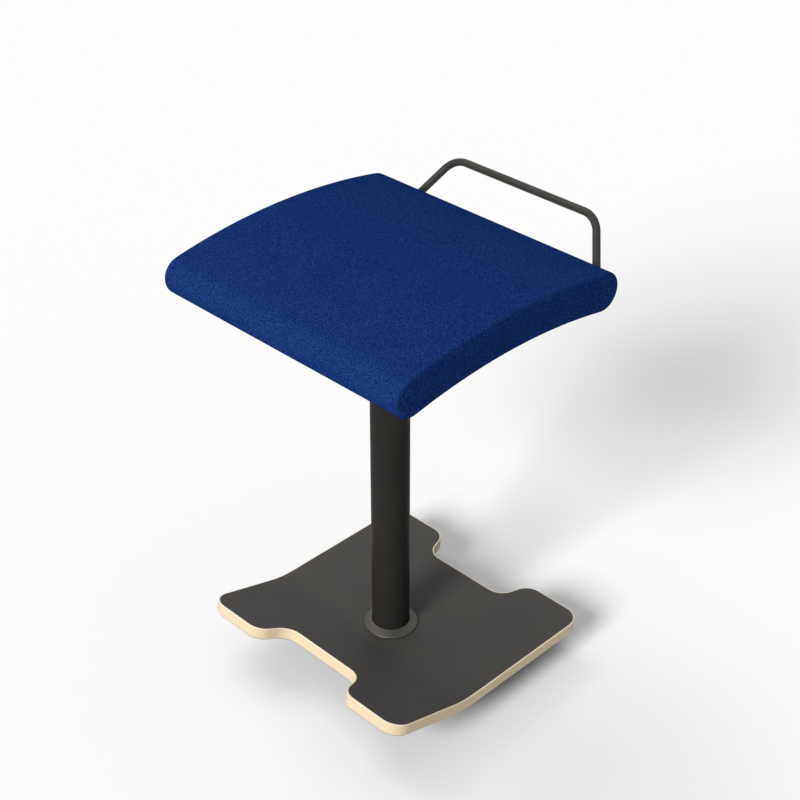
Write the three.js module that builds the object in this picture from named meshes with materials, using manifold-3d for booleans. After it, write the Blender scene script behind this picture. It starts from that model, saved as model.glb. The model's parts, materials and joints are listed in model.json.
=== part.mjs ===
// Perch stool: a saddle-curved seat on a gas lift column over a bent plywood footplate.
// Units are millimetres and +Z is up. The origin is on the floor, on the column's axis.
// The raised front of the footplate points to -Y and the wire handle stands at +Y.

import * as THREE from 'three';
import { mergeVertices } from 'three/addons/utils/BufferGeometryUtils.js';
import Module from 'manifold-3d';

const wasm = await Module();
wasm.setup();

// Fits and faceting
const touchGap = 0.3; // between pieces that are glued, bolted or seated
const runningGap = 0.1; // radial, between pieces that turn or slide in each other
const cutOverrun = 6; // how far a cutter runs past the face that it cuts
const fineSides = 36;
const plainSides = 24;
const screwSides = 12;
const ballSides = 8;
const bendSteps = 6;
const arcSteps = 3; // pairs of facets to a rounded corner of the footplate
const cornerSteps = 2; // the same for the corners of smaller plates

// Foot, from the floor up
const padSole = 7;
const padHeight = 20;
const padFlatRadius = 38;
const padRadius = 46;
const padTopRadius = 42;
const coreRadius = 34;
const coreHeight = 17;
const studRadius = 8;
const studLength = 36;
const studSocketDepth = 9;
const shoulderRadius = 13;
const shoulderHeight = 3;

// Foot adjuster
const nutHeight = 7.5;
const nutRadius = 27;
const nutGrips = 12;
const nutGripRadius = 3.5;
const nutNeckRadius = 13;
const nutNeckRise = 5;
const circlipHeight = 1.5;
const circlipRadius = 16;
const circlipGrooveDepth = 1.5;

// Base flange: a steel plate under the footplate, bent with it
const flangeWidth = 140;
const flangeLength = 150;
const flangeCorner = 20;
const flangeThickness = 8;
const flangeScrewAcross = 112;
const flangeScrewAlong = 116;
const flangeScrewRadius = 3;
const flangeScrewLength = 20;
const flangeScrewHeadRadius = 5.5;
const flangeScrewHeadHeight = 3.5;

// Footplate
const plateWidth = 350;
const plateRear = 188.6;
const plateThickness = 16;
const laminateThickness = 0.8;
const laminateInset = 1;
const bendDistance = 41.3; // of the bend line in front of the column's axis
const bendDegrees = 16;
const bendRadius = 140; // of the top face
const liftLength = 127.5; // of the raised part, from the bend line to its front edge
const lobeRadius = 25;
const recessDepth = 45;
const recessFloor = 96;
const recessRadius = 25;
const recessSweepDegrees = 72;

// Column
const columnRadius = 25;
const columnWall = 2;
const socketClearance = 32.4; // between the column's top and the taper socket, at the lowest seat height
const collarRadius = 36;
const collarHeight = 8;
const collarTopWall = 1;
const endPlateRise = 18; // of the end plate over the base flange
const endPlateThickness = 4;
const guideLength = 100;
const guideLip = 3.5;
const guideLipRounding = 1;

// Bearing at the foot of the piston rod
const raceRadius = 13;
const raceThickness = 2;
const ballRadius = 2.4;
const ballCount = 8;
const ballCircle = 9.4;
const cageThickness = 1.6;
const bumpHeight = 14;
const bumpRadius = 12;
const rodWasherRadius = 11;
const rodWasherThickness = 1.8;
const clipRadius = 9;
const clipThickness = 1.2;

// Piston rod and gas cylinder
const rodRadius = 5;
const rodTail = 8; // of the rod under the end plate
const rodGrooveDepth = 1;
const pistonDepth = 18; // of the piston's top under the column's top
const pistonHeight = 12;
const pistonSpigotRadius = 3.5;
const cylinderRadius = 14;
const cylinderWall = 1.5;
const cylinderTipRadius = 13.2;
const cylinderCap = 7;
const taperLength = 44;
const glandHeight = 14;
const valveLength = 32;
const pinRadius = 3;
const pinLength = 40;
const pinReach = 6.5; // of the release pin above the cylinder

// Mechanism under the seat
const mechanismWidth = 160;
const mechanismLength = 170;
const mechanismThickness = 3;
const mechanismFlange = 10;
const socketRadius = 19;
const socketHeight = 40;
const channelStart = -40;
const channelEnd = 62;
const channelInside = 34;
const channelHeight = 27.5;
const channelWall = 2.5;
const pivotPinRadius = 3;
const pivotPinHead = 5;
const pivotPinHeadThickness = 2;

// Release lever
const leverArm = 36; // from the column's axis to the lever's pivot
const leverWidth = 14;
const leverTip = 4;
const leverTipOverlap = 3; // of the tip past the column's axis
const leverHeadroom = 1;
const leverBossRadius = 6.5;
const pinGap = 0.5; // between the lever's tip and the release pin
const leverRodRadius = 4;
const leverKnee = 72;
const leverDrop = 8;
const leverReach = 150;
const leverBend = 14;
const gripLength = 48;
const gripWidth = 24;
const gripThickness = 11;
const gripRounding = 3;
const gripCover = 3; // of the grip past the end of the lever's rod

// Seat pad
const seatHeight = 617; // of the crown over the floor
const seatWidth = 386;
const seatThickness = 51;
const seatCurve = 812; // radius of the line through the middle of the pad
const seatNoseReach = 156.5; // from the middle of the pad to the centre of each rounded nose
const seatOffset = 1.5; // of the middle of the pad behind the column's axis
const seatEdgeRadius = 5;
const seatArcSteps = 16;
const noseSteps = 12;
const outerEdgeSteps = 3;
const innerEdgeSteps = 2;
const fabricThickness = 1.2;
const hemFromSide = 30; // of the cover's hem inside the pad's side
const hemFromNose = 32; // of the hem inside the centre of a nose
const clothThickness = 0.7;
const clothMargin = 2;
const boardThickness = 12;
const boardFromSide = 21;
const boardFromNose = 16.5;

// Bolts between the mechanism and the seat board
const seatBoltAcross = 124;
const seatBoltAlong = 132;
const seatBoltRadius = 4;
const seatBoltLength = 20;
const seatBoltHeadRadius = 6.5;
const seatBoltHeadHeight = 5;
const teeFlangeRadius = 9.5;
const teeFlangeThickness = 1.5;
const teeBarrelRadius = 5.2;
const teeBarrelDepth = 9;

// Wire handle
const handleRadius = 5;
const handleWidth = 232; // between the corners of its top bar
const handleReach = 50.2; // of the top bar behind the pad
const handleRise = 4.7; // of the top bar over the pad's crown
const handleCornerBend = 32;
const handleLowBend = 25;
const handleSplay = 52.8; // of the wire's low corner outside the top bar's corner
const handleTuck = 6.1; // of the low corner in front of the pad's rear
const handleNoseGap = 4.4; // between the wire's low corner and the rear nose
const tabFromHem = 36.5; // of the tab's middle in front of the cover's rear hem
const tabGap = 0.5; // between the flat tab and the curved underside
const tabWeld = 0.8; // how deep the wire sinks into its tab
const tabLength = 24;
const tabWidth = 36;
const tabThickness = 3;
const handleScrewSpacing = 22;
const handleScrewRadius = 2.2;
const handleScrewLength = 14;
const handleScrewHeadRadius = 4;
const handleScrewHeadHeight = 2.6;

// Heights that follow from the stack of pieces on the floor
const coreBottom = padSole + touchGap;
const coreTop = coreBottom + coreHeight;
const shoulderBottom = coreTop + touchGap;
const nutBottom = shoulderBottom + shoulderHeight + touchGap;
const flangeBottom = nutBottom + nutHeight + touchGap;
const flangeTop = flangeBottom + flangeThickness;
const plateBottom = flangeTop + touchGap;
const plateTop = plateBottom + plateThickness;
const columnBottom = flangeTop + touchGap;
const endPlateBottom = flangeTop + endPlateRise;
const endPlateTop = endPlateBottom + endPlateThickness;
const lowerRaceBottom = endPlateTop + touchGap;
const cageMiddle = lowerRaceBottom + raceThickness + touchGap + ballRadius;
const upperRaceBottom = cageMiddle + ballRadius + touchGap;
const bumpBottom = upperRaceBottom + raceThickness + touchGap;
const cylinderBottom = bumpBottom + bumpHeight + touchGap;
const seatMiddle = seatHeight - seatThickness / 2;
const seatCentre = seatMiddle - seatCurve;
const seatRear = seatOffset + seatNoseReach + seatThickness / 2;
const noseHeight = seatCentre + Math.sqrt(seatCurve ** 2 - seatNoseReach ** 2);
const hemOpeningWidth = seatWidth - 2 * hemFromSide;
const hemOpeningLength = 2 * (seatNoseReach - hemFromNose);
const boardWidth = seatWidth - 2 * boardFromSide;
const boardLength = 2 * (seatNoseReach - boardFromNose);
const tabAcross = (mechanismWidth + hemOpeningWidth) / 4; // midway between the mechanism and the hem
const tabAlong = hemOpeningLength / 2 - tabFromHem;
const boardLift = fabricThickness + touchGap; // of the seat board over the pad's underside
const mechanismTop = undersideAt(-mechanismLength / 2) - touchGap;
const mechanismBottom = mechanismTop - mechanismThickness;
const tipBottom = mechanismBottom - leverHeadroom - leverTip;
const pinTop = tipBottom - pinGap;
const cylinderTop = pinTop - pinReach;
const columnTop = cylinderTop - socketHeight - socketClearance - guideLip;
const pistonTop = columnTop - pistonDepth;
const pivotHeight = mechanismBottom - leverBossRadius - leverHeadroom;
const handleRear = seatRear + handleReach;
const handleHeight = seatHeight + handleRise;
const handleKneeAcross = handleWidth / 2 + handleSplay;
const handleKneeAlong = seatRear - handleTuck;
const handleKneeHeight = noseHeight - seatThickness / 2 - handleNoseGap - handleRadius;
const bendAngle = THREE.MathUtils.degToRad(bendDegrees);
const bendTangent = bendRadius * Math.tan(bendAngle / 2);
const bendStart = bendDistance - bendTangent; // of the curved part in front of the column's axis
const rightAngle = Math.PI / 2;

// Height of the seat pad's lower surface at a distance along Y.
function undersideAt(y) {
  const radius = seatCurve - seatThickness / 2;
  return seatCentre + Math.sqrt(radius ** 2 - (y - seatOffset) ** 2);
}

// Materials
const finishes = {
  rubber: { color: 0x222222, roughness: 0.85, metalness: 0 },
  plywood: { color: 0xe6d3ae, roughness: 0.6, metalness: 0 },
  laminate: { color: 0x484644, roughness: 0.55, metalness: 0 },
  blackSteel: { color: 0x2a2928, roughness: 0.45, metalness: 0.4 },
  collarSteel: { color: 0x3f3c3a, roughness: 0.5, metalness: 0.3 },
  zinc: { color: 0xb4b6b8, roughness: 0.35, metalness: 0.9 },
  chrome: { color: 0xd8dadc, roughness: 0.12, metalness: 1 },
  blackPlastic: { color: 0x202020, roughness: 0.5, metalness: 0 },
  foam: { color: 0xd9cfa8, roughness: 0.95, metalness: 0 },
  blueFabric: { color: 0x183a86, roughness: 0.9, metalness: 0 },
  blackCloth: { color: 0x1c1c1e, roughness: 0.95, metalness: 0 },
};

const stool = new THREE.Group();

function add(name, geometry, finish) {
  const mesh = new THREE.Mesh(geometry, new THREE.MeshStandardMaterial(finishes[finish]));
  mesh.name = name;
  stool.add(mesh);
  return mesh;
}

// Solid modelling

function toSolid(geometry) {
  const bare = geometry.clone();
  bare.deleteAttribute('normal');
  bare.deleteAttribute('uv');
  const merged = mergeVertices(bare);
  return new wasm.Manifold(new wasm.Mesh({
    numProp: 3,
    vertProperties: new Float32Array(merged.attributes.position.array),
    triVerts: new Uint32Array(merged.index.array),
  }));
}

function fromSolid(solid) {
  const mesh = solid.getMesh();
  const geometry = new THREE.BufferGeometry();
  geometry.setAttribute('position', new THREE.BufferAttribute(new Float32Array(mesh.vertProperties), 3));
  geometry.setIndex(new THREE.BufferAttribute(new Uint32Array(mesh.triVerts), 1));
  return geometry;
}

function cut(geometry, cutters) {
  return fromSolid(cutters.reduce((solid, cutter) => solid.subtract(toSolid(cutter)), toSolid(geometry)));
}

function common(geometry, other) {
  return fromSolid(toSolid(geometry).intersect(toSolid(other)));
}

function join(geometries) {
  return fromSolid(geometries.map(toSolid).reduce((solid, other) => solid.add(other)));
}

// A turned piece about Z from pairs of radius and height, listed up its outside.
function turned(profile, sides) {
  const points = profile.map(([radius, height]) => new THREE.Vector2(radius, height));
  if (THREE.ShapeUtils.area(points) < 0) points.reverse();
  return new THREE.LatheGeometry(points, sides).rotateX(rightAngle);
}

function ring(inner, outer, bottom, height, sides = plainSides) {
  const top = bottom + height;
  return turned([[inner, bottom], [outer, bottom], [outer, top], [inner, top], [inner, bottom]], sides);
}

function disc(radius, bottom, height, sides = plainSides) {
  return turned([[0, bottom], [radius, bottom], [radius, bottom + height], [0, bottom + height]], sides);
}

function block(x0, x1, y0, y1, z0, z1) {
  const box = new THREE.BoxGeometry(x1 - x0, y1 - y0, z1 - z0);
  return box.translate((x0 + x1) / 2, (y0 + y1) / 2, (z0 + z1) / 2);
}

// A shape drawn in Y and Z, extruded along X and centred on it.
function alongX(points, width, bevel) {
  const shape = new THREE.Shape(points);
  const depth = width - (bevel ? 2 * bevel.bevelThickness : 0);
  const options = bevel ? { depth, ...bevel } : { depth, bevelEnabled: false };
  const geometry = new THREE.ExtrudeGeometry(shape, options).translate(0, 0, -depth / 2);
  const turn = new THREE.Matrix4().makeBasis(
    new THREE.Vector3(0, 1, 0),
    new THREE.Vector3(0, 0, 1),
    new THREE.Vector3(1, 0, 0),
  );
  return geometry.applyMatrix4(turn);
}

// A wire: straight runs between corners that are rounded to their bend radii.
// Its parameter counts stations, so the extrusion only has steps where the wire bends.
class Wire extends THREE.Curve {
  constructor(corners, radii) {
    super();
    this.stations = [corners[0]];
    for (let i = 1; i < corners.length - 1; i += 1) {
      this.addBend(corners[i - 1], corners[i], corners[i + 1], radii[i - 1]);
    }
    this.stations.push(corners[corners.length - 1]);
  }

  addBend(before, corner, after, radius) {
    const into = corner.clone().sub(before).normalize();
    const out = after.clone().sub(corner).normalize();
    const turn = into.angleTo(out);
    const start = corner.clone().addScaledVector(into, -radius * Math.tan(turn / 2));
    const side = out.clone().addScaledVector(into, -into.dot(out)).normalize();
    const centre = start.clone().addScaledVector(side, radius);
    for (let step = 0; step <= bendSteps; step += 1) {
      const angle = turn * step / bendSteps;
      this.stations.push(centre.clone()
        .addScaledVector(side, -radius * Math.cos(angle))
        .addScaledVector(into, radius * Math.sin(angle)));
    }
  }

  get steps() {
    return this.stations.length - 1;
  }

  getPoint(t) {
    const place = THREE.MathUtils.clamp(t, 0, 1) * this.steps;
    const index = Math.min(Math.floor(place), this.steps - 1);
    return this.stations[index].clone().lerp(this.stations[index + 1], place - index);
  }

  getPointAt(u) {
    return this.getPoint(u);
  }

  getTangentAt(u) {
    const index = Math.round(u * this.steps);
    const before = this.stations[Math.max(index - 1, 0)];
    const here = this.stations[index];
    const after = this.stations[Math.min(index + 1, this.steps)];
    const into = here.clone().sub(before).normalize();
    const out = after.clone().sub(here).normalize();
    return into.add(out).normalize();
  }
}

function wire(corners, radii, radius, sides) {
  const path = new Wire(corners, radii);
  const section = new THREE.Shape().absarc(0, 0, radius, 0, 2 * Math.PI);
  const options = { steps: path.steps, extrudePath: path, curveSegments: sides / 2 };
  return new THREE.ExtrudeGeometry(section, options);
}

// A screw whose head stands at the bottom, with a round drive recess in the head.
function screw(radius, length, headRadius, headHeight) {
  const recess = headHeight / 2;
  const drive = headRadius / 2;
  return turned([
    [0, recess - headHeight],
    [drive, recess - headHeight],
    [drive, -headHeight],
    [headRadius, -headHeight],
    [headRadius, 0],
    [radius, 0],
    [radius, length],
    [0, length],
  ], screwSides);
}

// Footplate

// The side profile's points at a depth below the top face, from the rear edge to the front edge.
function footplateLine(depth, inset) {
  const points = [new THREE.Vector2(plateRear - inset, plateTop - depth)];
  const centre = new THREE.Vector2(-bendStart, plateTop + bendRadius);
  const radius = bendRadius + depth;
  for (let step = 0; step <= bendSteps; step += 1) {
    const angle = bendAngle * step / bendSteps;
    points.push(new THREE.Vector2(centre.x - radius * Math.sin(angle), centre.y - radius * Math.cos(angle)));
  }
  const reach = liftLength - inset;
  points.push(new THREE.Vector2(
    -bendDistance - reach * Math.cos(bendAngle) - depth * Math.sin(bendAngle),
    plateTop + reach * Math.sin(bendAngle) - depth * Math.cos(bendAngle),
  ));
  return points;
}

// The recess between two lobes, drawn across X and outwards to the edge.
function recessShape(edge, inset) {
  const sweep = THREE.MathUtils.degToRad(recessSweepDegrees);
  const floor = edge - recessDepth;
  const flank = (recessDepth - 2 * recessRadius * (1 - Math.cos(sweep))) / Math.sin(sweep);
  const half = recessFloor / 2;
  const mouth = half + 2 * recessRadius * Math.sin(sweep) + flank * Math.cos(sweep);
  const shape = new THREE.Shape();
  shape.moveTo(half, floor - inset);
  shape.absarc(half, floor + recessRadius, recessRadius + inset, -rightAngle, sweep - rightAngle, false);
  shape.absarc(mouth, edge - recessRadius, recessRadius - inset, sweep + rightAngle, rightAngle, true);
  shape.lineTo(mouth, edge + cutOverrun);
  shape.lineTo(-mouth, edge + cutOverrun);
  shape.absarc(-mouth, edge - recessRadius, recessRadius - inset, rightAngle, rightAngle - sweep, true);
  shape.absarc(-half, floor + recessRadius, recessRadius + inset, -rightAngle - sweep, -rightAngle, false);
  return shape;
}

// What is cut away outside a lobe's rounded outer corner, on the side of the given sign.
function cornerShape(edge, inset, side) {
  const x = plateWidth / 2 - lobeRadius;
  const y = edge - lobeRadius;
  const shape = new THREE.Shape();
  shape.moveTo(side * (x + lobeRadius + cutOverrun), y);
  if (side > 0) shape.absarc(x, y, lobeRadius - inset, 0, rightAngle, false);
  else shape.absarc(-x, y, lobeRadius - inset, Math.PI, rightAngle, true);
  shape.lineTo(side * x, edge + cutOverrun);
  shape.lineTo(side * (x + lobeRadius + cutOverrun), edge + cutOverrun);
  return shape;
}

// Cutters for one end of the plate, square to its face there.
function edgeCutters(edge, inset, place) {
  const shapes = [recessShape(edge, inset), cornerShape(edge, inset, 1), cornerShape(edge, inset, -1)];
  const depth = plateThickness + 2 * cutOverrun;
  return shapes.map((shape) => {
    const cutter = new THREE.ExtrudeGeometry(shape, { depth, bevelEnabled: false, curveSegments: arcSteps });
    return cutter.translate(0, 0, -plateThickness - cutOverrun).applyMatrix4(place);
  });
}

// One layer of the bent board between two depths below its top face.
function footplateLayer(upper, lower, inset) {
  const outline = [...footplateLine(upper, inset), ...footplateLine(lower, inset).reverse()];
  const slab = alongX(outline, plateWidth - 2 * inset);
  const rear = new THREE.Matrix4().makeTranslation(0, 0, plateTop);
  const front = new THREE.Matrix4().makeBasis(
    new THREE.Vector3(-1, 0, 0),
    new THREE.Vector3(0, -Math.cos(bendAngle), Math.sin(bendAngle)),
    new THREE.Vector3(0, Math.sin(bendAngle), Math.cos(bendAngle)),
  ).setPosition(0, -bendDistance, plateTop);
  const bore = disc(columnRadius + touchGap, flangeBottom, plateTop, fineSides);
  return cut(slab, [
    ...edgeCutters(plateRear, inset, rear),
    ...edgeCutters(liftLength, inset, front),
    bore,
    ...flangeScrewHoles(),
  ]);
}

// A slab of the bent board's whole width between two depths, before it is trimmed.
function bentSlab(upper, lower, width) {
  return alongX([...footplateLine(upper, 0), ...footplateLine(lower, 0).reverse()], width);
}

// Six places under the board, square to its lower face, with +Z into the board.
function flangeScrewPlaces() {
  const across = flangeScrewAcross / 2;
  const along = flangeScrewAlong / 2;
  return [-1, 1].flatMap((side) => [-along, 0, along].map((ahead) => {
    const angle = THREE.MathUtils.clamp((ahead - bendStart) / bendRadius, 0, bendAngle);
    const flat = Math.min(ahead, bendStart);
    const radius = bendRadius + plateThickness + 2 * touchGap + flangeThickness;
    const place = new THREE.Matrix4().makeRotationX(-angle);
    return place.setPosition(
      side * across,
      -flat - radius * Math.sin(angle),
      plateTop + bendRadius - radius * Math.cos(angle),
    );
  }));
}

function flangeScrewHoles() {
  return flangeScrewPlaces().map((place) => disc(
    flangeScrewRadius + touchGap,
    -cutOverrun,
    cutOverrun + flangeScrewLength + touchGap,
    screwSides,
  ).applyMatrix4(place));
}

function addFootplate() {
  const coreUpper = laminateThickness + touchGap;
  const coreLower = plateThickness - coreUpper;
  add('footplate_core', footplateLayer(coreUpper, coreLower, 0), 'plywood');
  add('footplate_top_laminate', footplateLayer(0, laminateThickness, laminateInset), 'laminate');
  add(
    'footplate_bottom_laminate',
    footplateLayer(coreLower + touchGap, plateThickness, laminateInset),
    'laminate',
  );
}

// Foot and its adjuster

function addFoot() {
  const wallTop = padHeight;
  const cornerDrop = (padRadius - padFlatRadius) / 2;
  add('foot_pad', turned([
    [0, 0],
    [padFlatRadius, 0],
    [padRadius - cornerDrop / 2, cornerDrop],
    [padRadius, 2 * cornerDrop],
    [padRadius, wallTop - cornerDrop],
    [padTopRadius, wallTop],
    [coreRadius + touchGap, wallTop],
    [coreRadius + touchGap, padSole],
    [0, padSole],
  ], fineSides), 'rubber');
  const socket = coreTop - studSocketDepth;
  add('foot_core', turned([
    [0, coreBottom],
    [coreRadius, coreBottom],
    [coreRadius, coreTop],
    [studRadius + touchGap, coreTop],
    [studRadius + touchGap, socket],
    [0, socket],
  ], plainSides), 'zinc');
  const studBottom = socket + touchGap;
  add('foot_stud', turned([
    [0, studBottom],
    [studRadius, studBottom],
    [studRadius, shoulderBottom],
    [shoulderRadius, shoulderBottom],
    [shoulderRadius, shoulderBottom + shoulderHeight],
    [studRadius, shoulderBottom + shoulderHeight],
    [studRadius, studBottom + studLength],
    [0, studBottom + studLength],
  ], plainSides), 'zinc');
}

function addAdjuster() {
  const neckTop = flangeTop + nutNeckRise;
  const groove = flangeTop + touchGap;
  const grooveRadius = nutNeckRadius - circlipGrooveDepth;
  const bore = studRadius + runningGap;
  const body = turned([
    [bore, nutBottom],
    [nutRadius, nutBottom],
    [nutRadius, nutBottom + nutHeight],
    [nutNeckRadius, nutBottom + nutHeight],
    [nutNeckRadius, groove],
    [grooveRadius, groove],
    [grooveRadius, groove + circlipHeight + touchGap],
    [nutNeckRadius, groove + circlipHeight + touchGap],
    [nutNeckRadius, neckTop],
    [bore, neckTop],
    [bore, nutBottom],
  ], plainSides);
  const grips = Array.from({ length: nutGrips }, (_, i) => {
    const angle = i * 2 * Math.PI / nutGrips;
    const grip = disc(nutGripRadius, nutBottom - cutOverrun, nutHeight + 2 * cutOverrun, ballSides);
    return grip.translate(nutRadius * Math.cos(angle), nutRadius * Math.sin(angle), 0);
  });
  add('adjuster_nut', cut(body, grips), 'blackPlastic');
  const clip = ring(grooveRadius + touchGap, circlipRadius, groove + touchGap / 2, circlipHeight);
  const mouth = block(0, circlipRadius + cutOverrun, -circlipGrooveDepth, circlipGrooveDepth,
    groove - cutOverrun, groove + circlipHeight + cutOverrun);
  add('adjuster_circlip', cut(clip, [mouth]), 'zinc');
}

// Column

function addBase() {
  const upper = plateThickness + touchGap;
  const sheet = bentSlab(upper, upper + flangeThickness, flangeWidth);
  const x = flangeWidth / 2 - flangeCorner;
  const y = flangeLength / 2 - flangeCorner;
  const outline = new THREE.Shape();
  outline.absarc(x, y, flangeCorner, 0, rightAngle);
  outline.absarc(-x, y, flangeCorner, rightAngle, 2 * rightAngle);
  outline.absarc(-x, -y, flangeCorner, 2 * rightAngle, 3 * rightAngle);
  outline.absarc(x, -y, flangeCorner, 3 * rightAngle, 4 * rightAngle);
  const trim = new THREE.ExtrudeGeometry(outline, {
    depth: plateTop,
    bevelEnabled: false,
    curveSegments: cornerSteps,
  });
  const bore = disc(nutNeckRadius + runningGap, 0, plateTop, fineSides);
  add('base_flange', cut(common(sheet, trim), [bore, ...flangeScrewHoles()]), 'blackSteel');
  flangeScrewPlaces().forEach((place, i) => {
    const geometry = screw(
      flangeScrewRadius,
      flangeScrewLength,
      flangeScrewHeadRadius,
      flangeScrewHeadHeight,
    );
    add(`flange_screw_${i + 1}`, geometry, 'zinc').applyMatrix4(place);
  });
}

function addColumn() {
  const bore = columnRadius - columnWall;
  const tube = ring(bore, columnRadius, columnBottom, columnTop - columnBottom, fineSides);
  add('column_tube', tube, 'blackSteel');
  const collarBore = columnRadius + touchGap;
  const collar = turned([
    [collarBore, plateTop],
    [collarRadius, plateTop],
    [collarBore + collarTopWall, plateTop + collarHeight],
    [collarBore, plateTop + collarHeight],
    [collarBore, plateTop],
  ], fineSides);
  const board = bentSlab(-touchGap, plateThickness, plateWidth);
  add('column_collar', cut(collar, [board]), 'collarSteel');
  add('column_end_plate', ring(
    rodRadius + runningGap,
    bore - touchGap,
    endPlateBottom,
    endPlateThickness,
  ), 'blackSteel');
  const guideBore = cylinderRadius + runningGap;
  add('guide_sleeve', turned([
    [guideBore, columnTop - guideLength],
    [bore - touchGap, columnTop - guideLength],
    [bore - touchGap, columnTop + touchGap],
    [columnRadius, columnTop + touchGap],
    [columnRadius, columnTop + guideLip - guideLipRounding],
    [columnRadius - guideLipRounding, columnTop + guideLip],
    [guideBore, columnTop + guideLip],
    [guideBore, columnTop - guideLength],
  ], fineSides), 'blackPlastic');
}

// Gas lift

function addBearing() {
  const bore = rodRadius + touchGap;
  add('bearing_lower_race', ring(bore, raceRadius, lowerRaceBottom, raceThickness), 'zinc');
  add('bearing_upper_race', ring(bore, raceRadius, upperRaceBottom, raceThickness), 'zinc');
  const cage = ring(bore, raceRadius, cageMiddle - cageThickness / 2, cageThickness);
  const balls = Array.from({ length: ballCount }, (_, i) => {
    const angle = i * 2 * Math.PI / ballCount;
    const ball = new THREE.SphereGeometry(ballRadius, ballSides, ballSides / 2);
    return ball.translate(ballCircle * Math.cos(angle), ballCircle * Math.sin(angle), cageMiddle);
  });
  add('bearing_balls', join([cage, ...balls]), 'chrome');
  add('bump_stop', ring(bore, bumpRadius, bumpBottom, bumpHeight), 'rubber');
  const washerTop = endPlateBottom - touchGap;
  add('rod_washer', ring(bore, rodWasherRadius, washerTop - rodWasherThickness, rodWasherThickness), 'zinc');
}

function addPistonRod() {
  const tail = endPlateBottom - rodTail;
  const clipTop = endPlateBottom - 2 * touchGap - rodWasherThickness;
  const clipBottom = clipTop - clipThickness;
  const neck = rodRadius - rodGrooveDepth;
  const spigot = pistonTop - pistonHeight;
  add('piston_rod', turned([
    [0, tail],
    [rodRadius, tail],
    [rodRadius, clipBottom - touchGap],
    [neck, clipBottom - touchGap],
    [neck, clipTop + touchGap],
    [rodRadius, clipTop + touchGap],
    [rodRadius, spigot - touchGap],
    [pistonSpigotRadius, spigot - touchGap],
    [pistonSpigotRadius, pistonTop],
    [0, pistonTop],
  ], plainSides), 'chrome');
  add('rod_clip', ring(neck + touchGap, clipRadius, clipBottom, clipThickness), 'zinc');
  const pistonRadius = cylinderRadius - cylinderWall - runningGap;
  add('piston', ring(pistonSpigotRadius + touchGap, pistonRadius, spigot, pistonHeight), 'zinc');
}

function addCylinder() {
  const bore = cylinderRadius - cylinderWall;
  const capBottom = cylinderTop - cylinderCap;
  add('gas_cylinder', turned([
    [bore, cylinderBottom],
    [cylinderRadius, cylinderBottom],
    [cylinderRadius, cylinderTop - taperLength],
    [cylinderTipRadius, cylinderTop],
    [pinRadius + runningGap, cylinderTop],
    [pinRadius + runningGap, capBottom],
    [cylinderTipRadius - cylinderWall, capBottom],
    [bore, cylinderTop - taperLength],
    [bore, cylinderBottom],
  ], plainSides), 'blackSteel');
  add('cylinder_gland', ring(
    rodRadius + runningGap,
    bore - touchGap,
    cylinderBottom + touchGap,
    glandHeight,
  ), 'blackPlastic');
  const valveRadius = cylinderTipRadius - cylinderWall - touchGap;
  const valveBottom = capBottom - touchGap - valveLength;
  add('valve_body', ring(pinRadius + runningGap, valveRadius, valveBottom, valveLength), 'zinc');
  add('release_pin', disc(pinRadius, pinTop - pinLength, pinLength), 'chrome');
}

// Mechanism and release lever

function seatBoltPlaces() {
  const quarters = [[1, 1], [-1, 1], [-1, -1], [1, -1]];
  return quarters.map(([x, y]) => [x * seatBoltAcross / 2, y * seatBoltAlong / 2]);
}

function addMechanism() {
  const across = mechanismWidth / 2;
  const along = mechanismLength / 2;
  const sheet = block(-across, across, -along, along, mechanismBottom, mechanismTop);
  const lip = mechanismBottom - mechanismFlange;
  const front = block(-across, across, -along, mechanismThickness - along, lip, mechanismTop);
  const rear = block(-across, across, along - mechanismThickness, along, lip, mechanismTop);
  const holes = seatBoltPlaces().map(([x, y]) => disc(
    seatBoltRadius + touchGap,
    mechanismBottom - cutOverrun,
    mechanismThickness + 2 * cutOverrun,
    screwSides,
  ).translate(x, y, 0));
  add('mechanism_plate', cut(join([sheet, front, rear]), holes), 'blackSteel');

  const channelTop = mechanismBottom - touchGap;
  const channelBottom = channelTop - channelHeight;
  const inside = channelInside / 2;
  const outside = inside + channelWall;
  const bar = block(channelStart, channelEnd, -outside, outside, channelBottom, channelTop);
  const hollow = block(channelStart - cutOverrun, channelEnd + cutOverrun, -inside, inside,
    channelBottom + channelWall, channelTop + cutOverrun);
  const socketHole = disc(socketRadius + touchGap, channelBottom - cutOverrun, channelHeight, fineSides);
  const pinHole = pivotCylinder(pivotPinRadius + touchGap, outside + cutOverrun);
  add('lever_channel', cut(bar, [hollow, socketHole, pinHole]), 'blackSteel');

  const socketTop = cylinderTop;
  const socketBottom = socketTop - socketHeight;
  const slope = (cylinderRadius - cylinderTipRadius) / taperLength;
  const bore = (z) => cylinderTipRadius + slope * (cylinderTop - z) + touchGap;
  add('taper_socket', turned([
    [bore(socketBottom), socketBottom],
    [socketRadius, socketBottom],
    [socketRadius, channelBottom + channelWall],
    [inside - touchGap, channelBottom + channelWall + touchGap],
    [inside - touchGap, socketTop],
    [bore(socketTop), socketTop],
    [bore(socketBottom), socketBottom],
  ], plainSides), 'blackSteel');
}

// A cylinder along Y on the lever's pivot axis.
function pivotCylinder(radius, half) {
  return new THREE.CylinderGeometry(radius, radius, 2 * half, plainSides).translate(leverArm, 0, pivotHeight);
}

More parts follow.
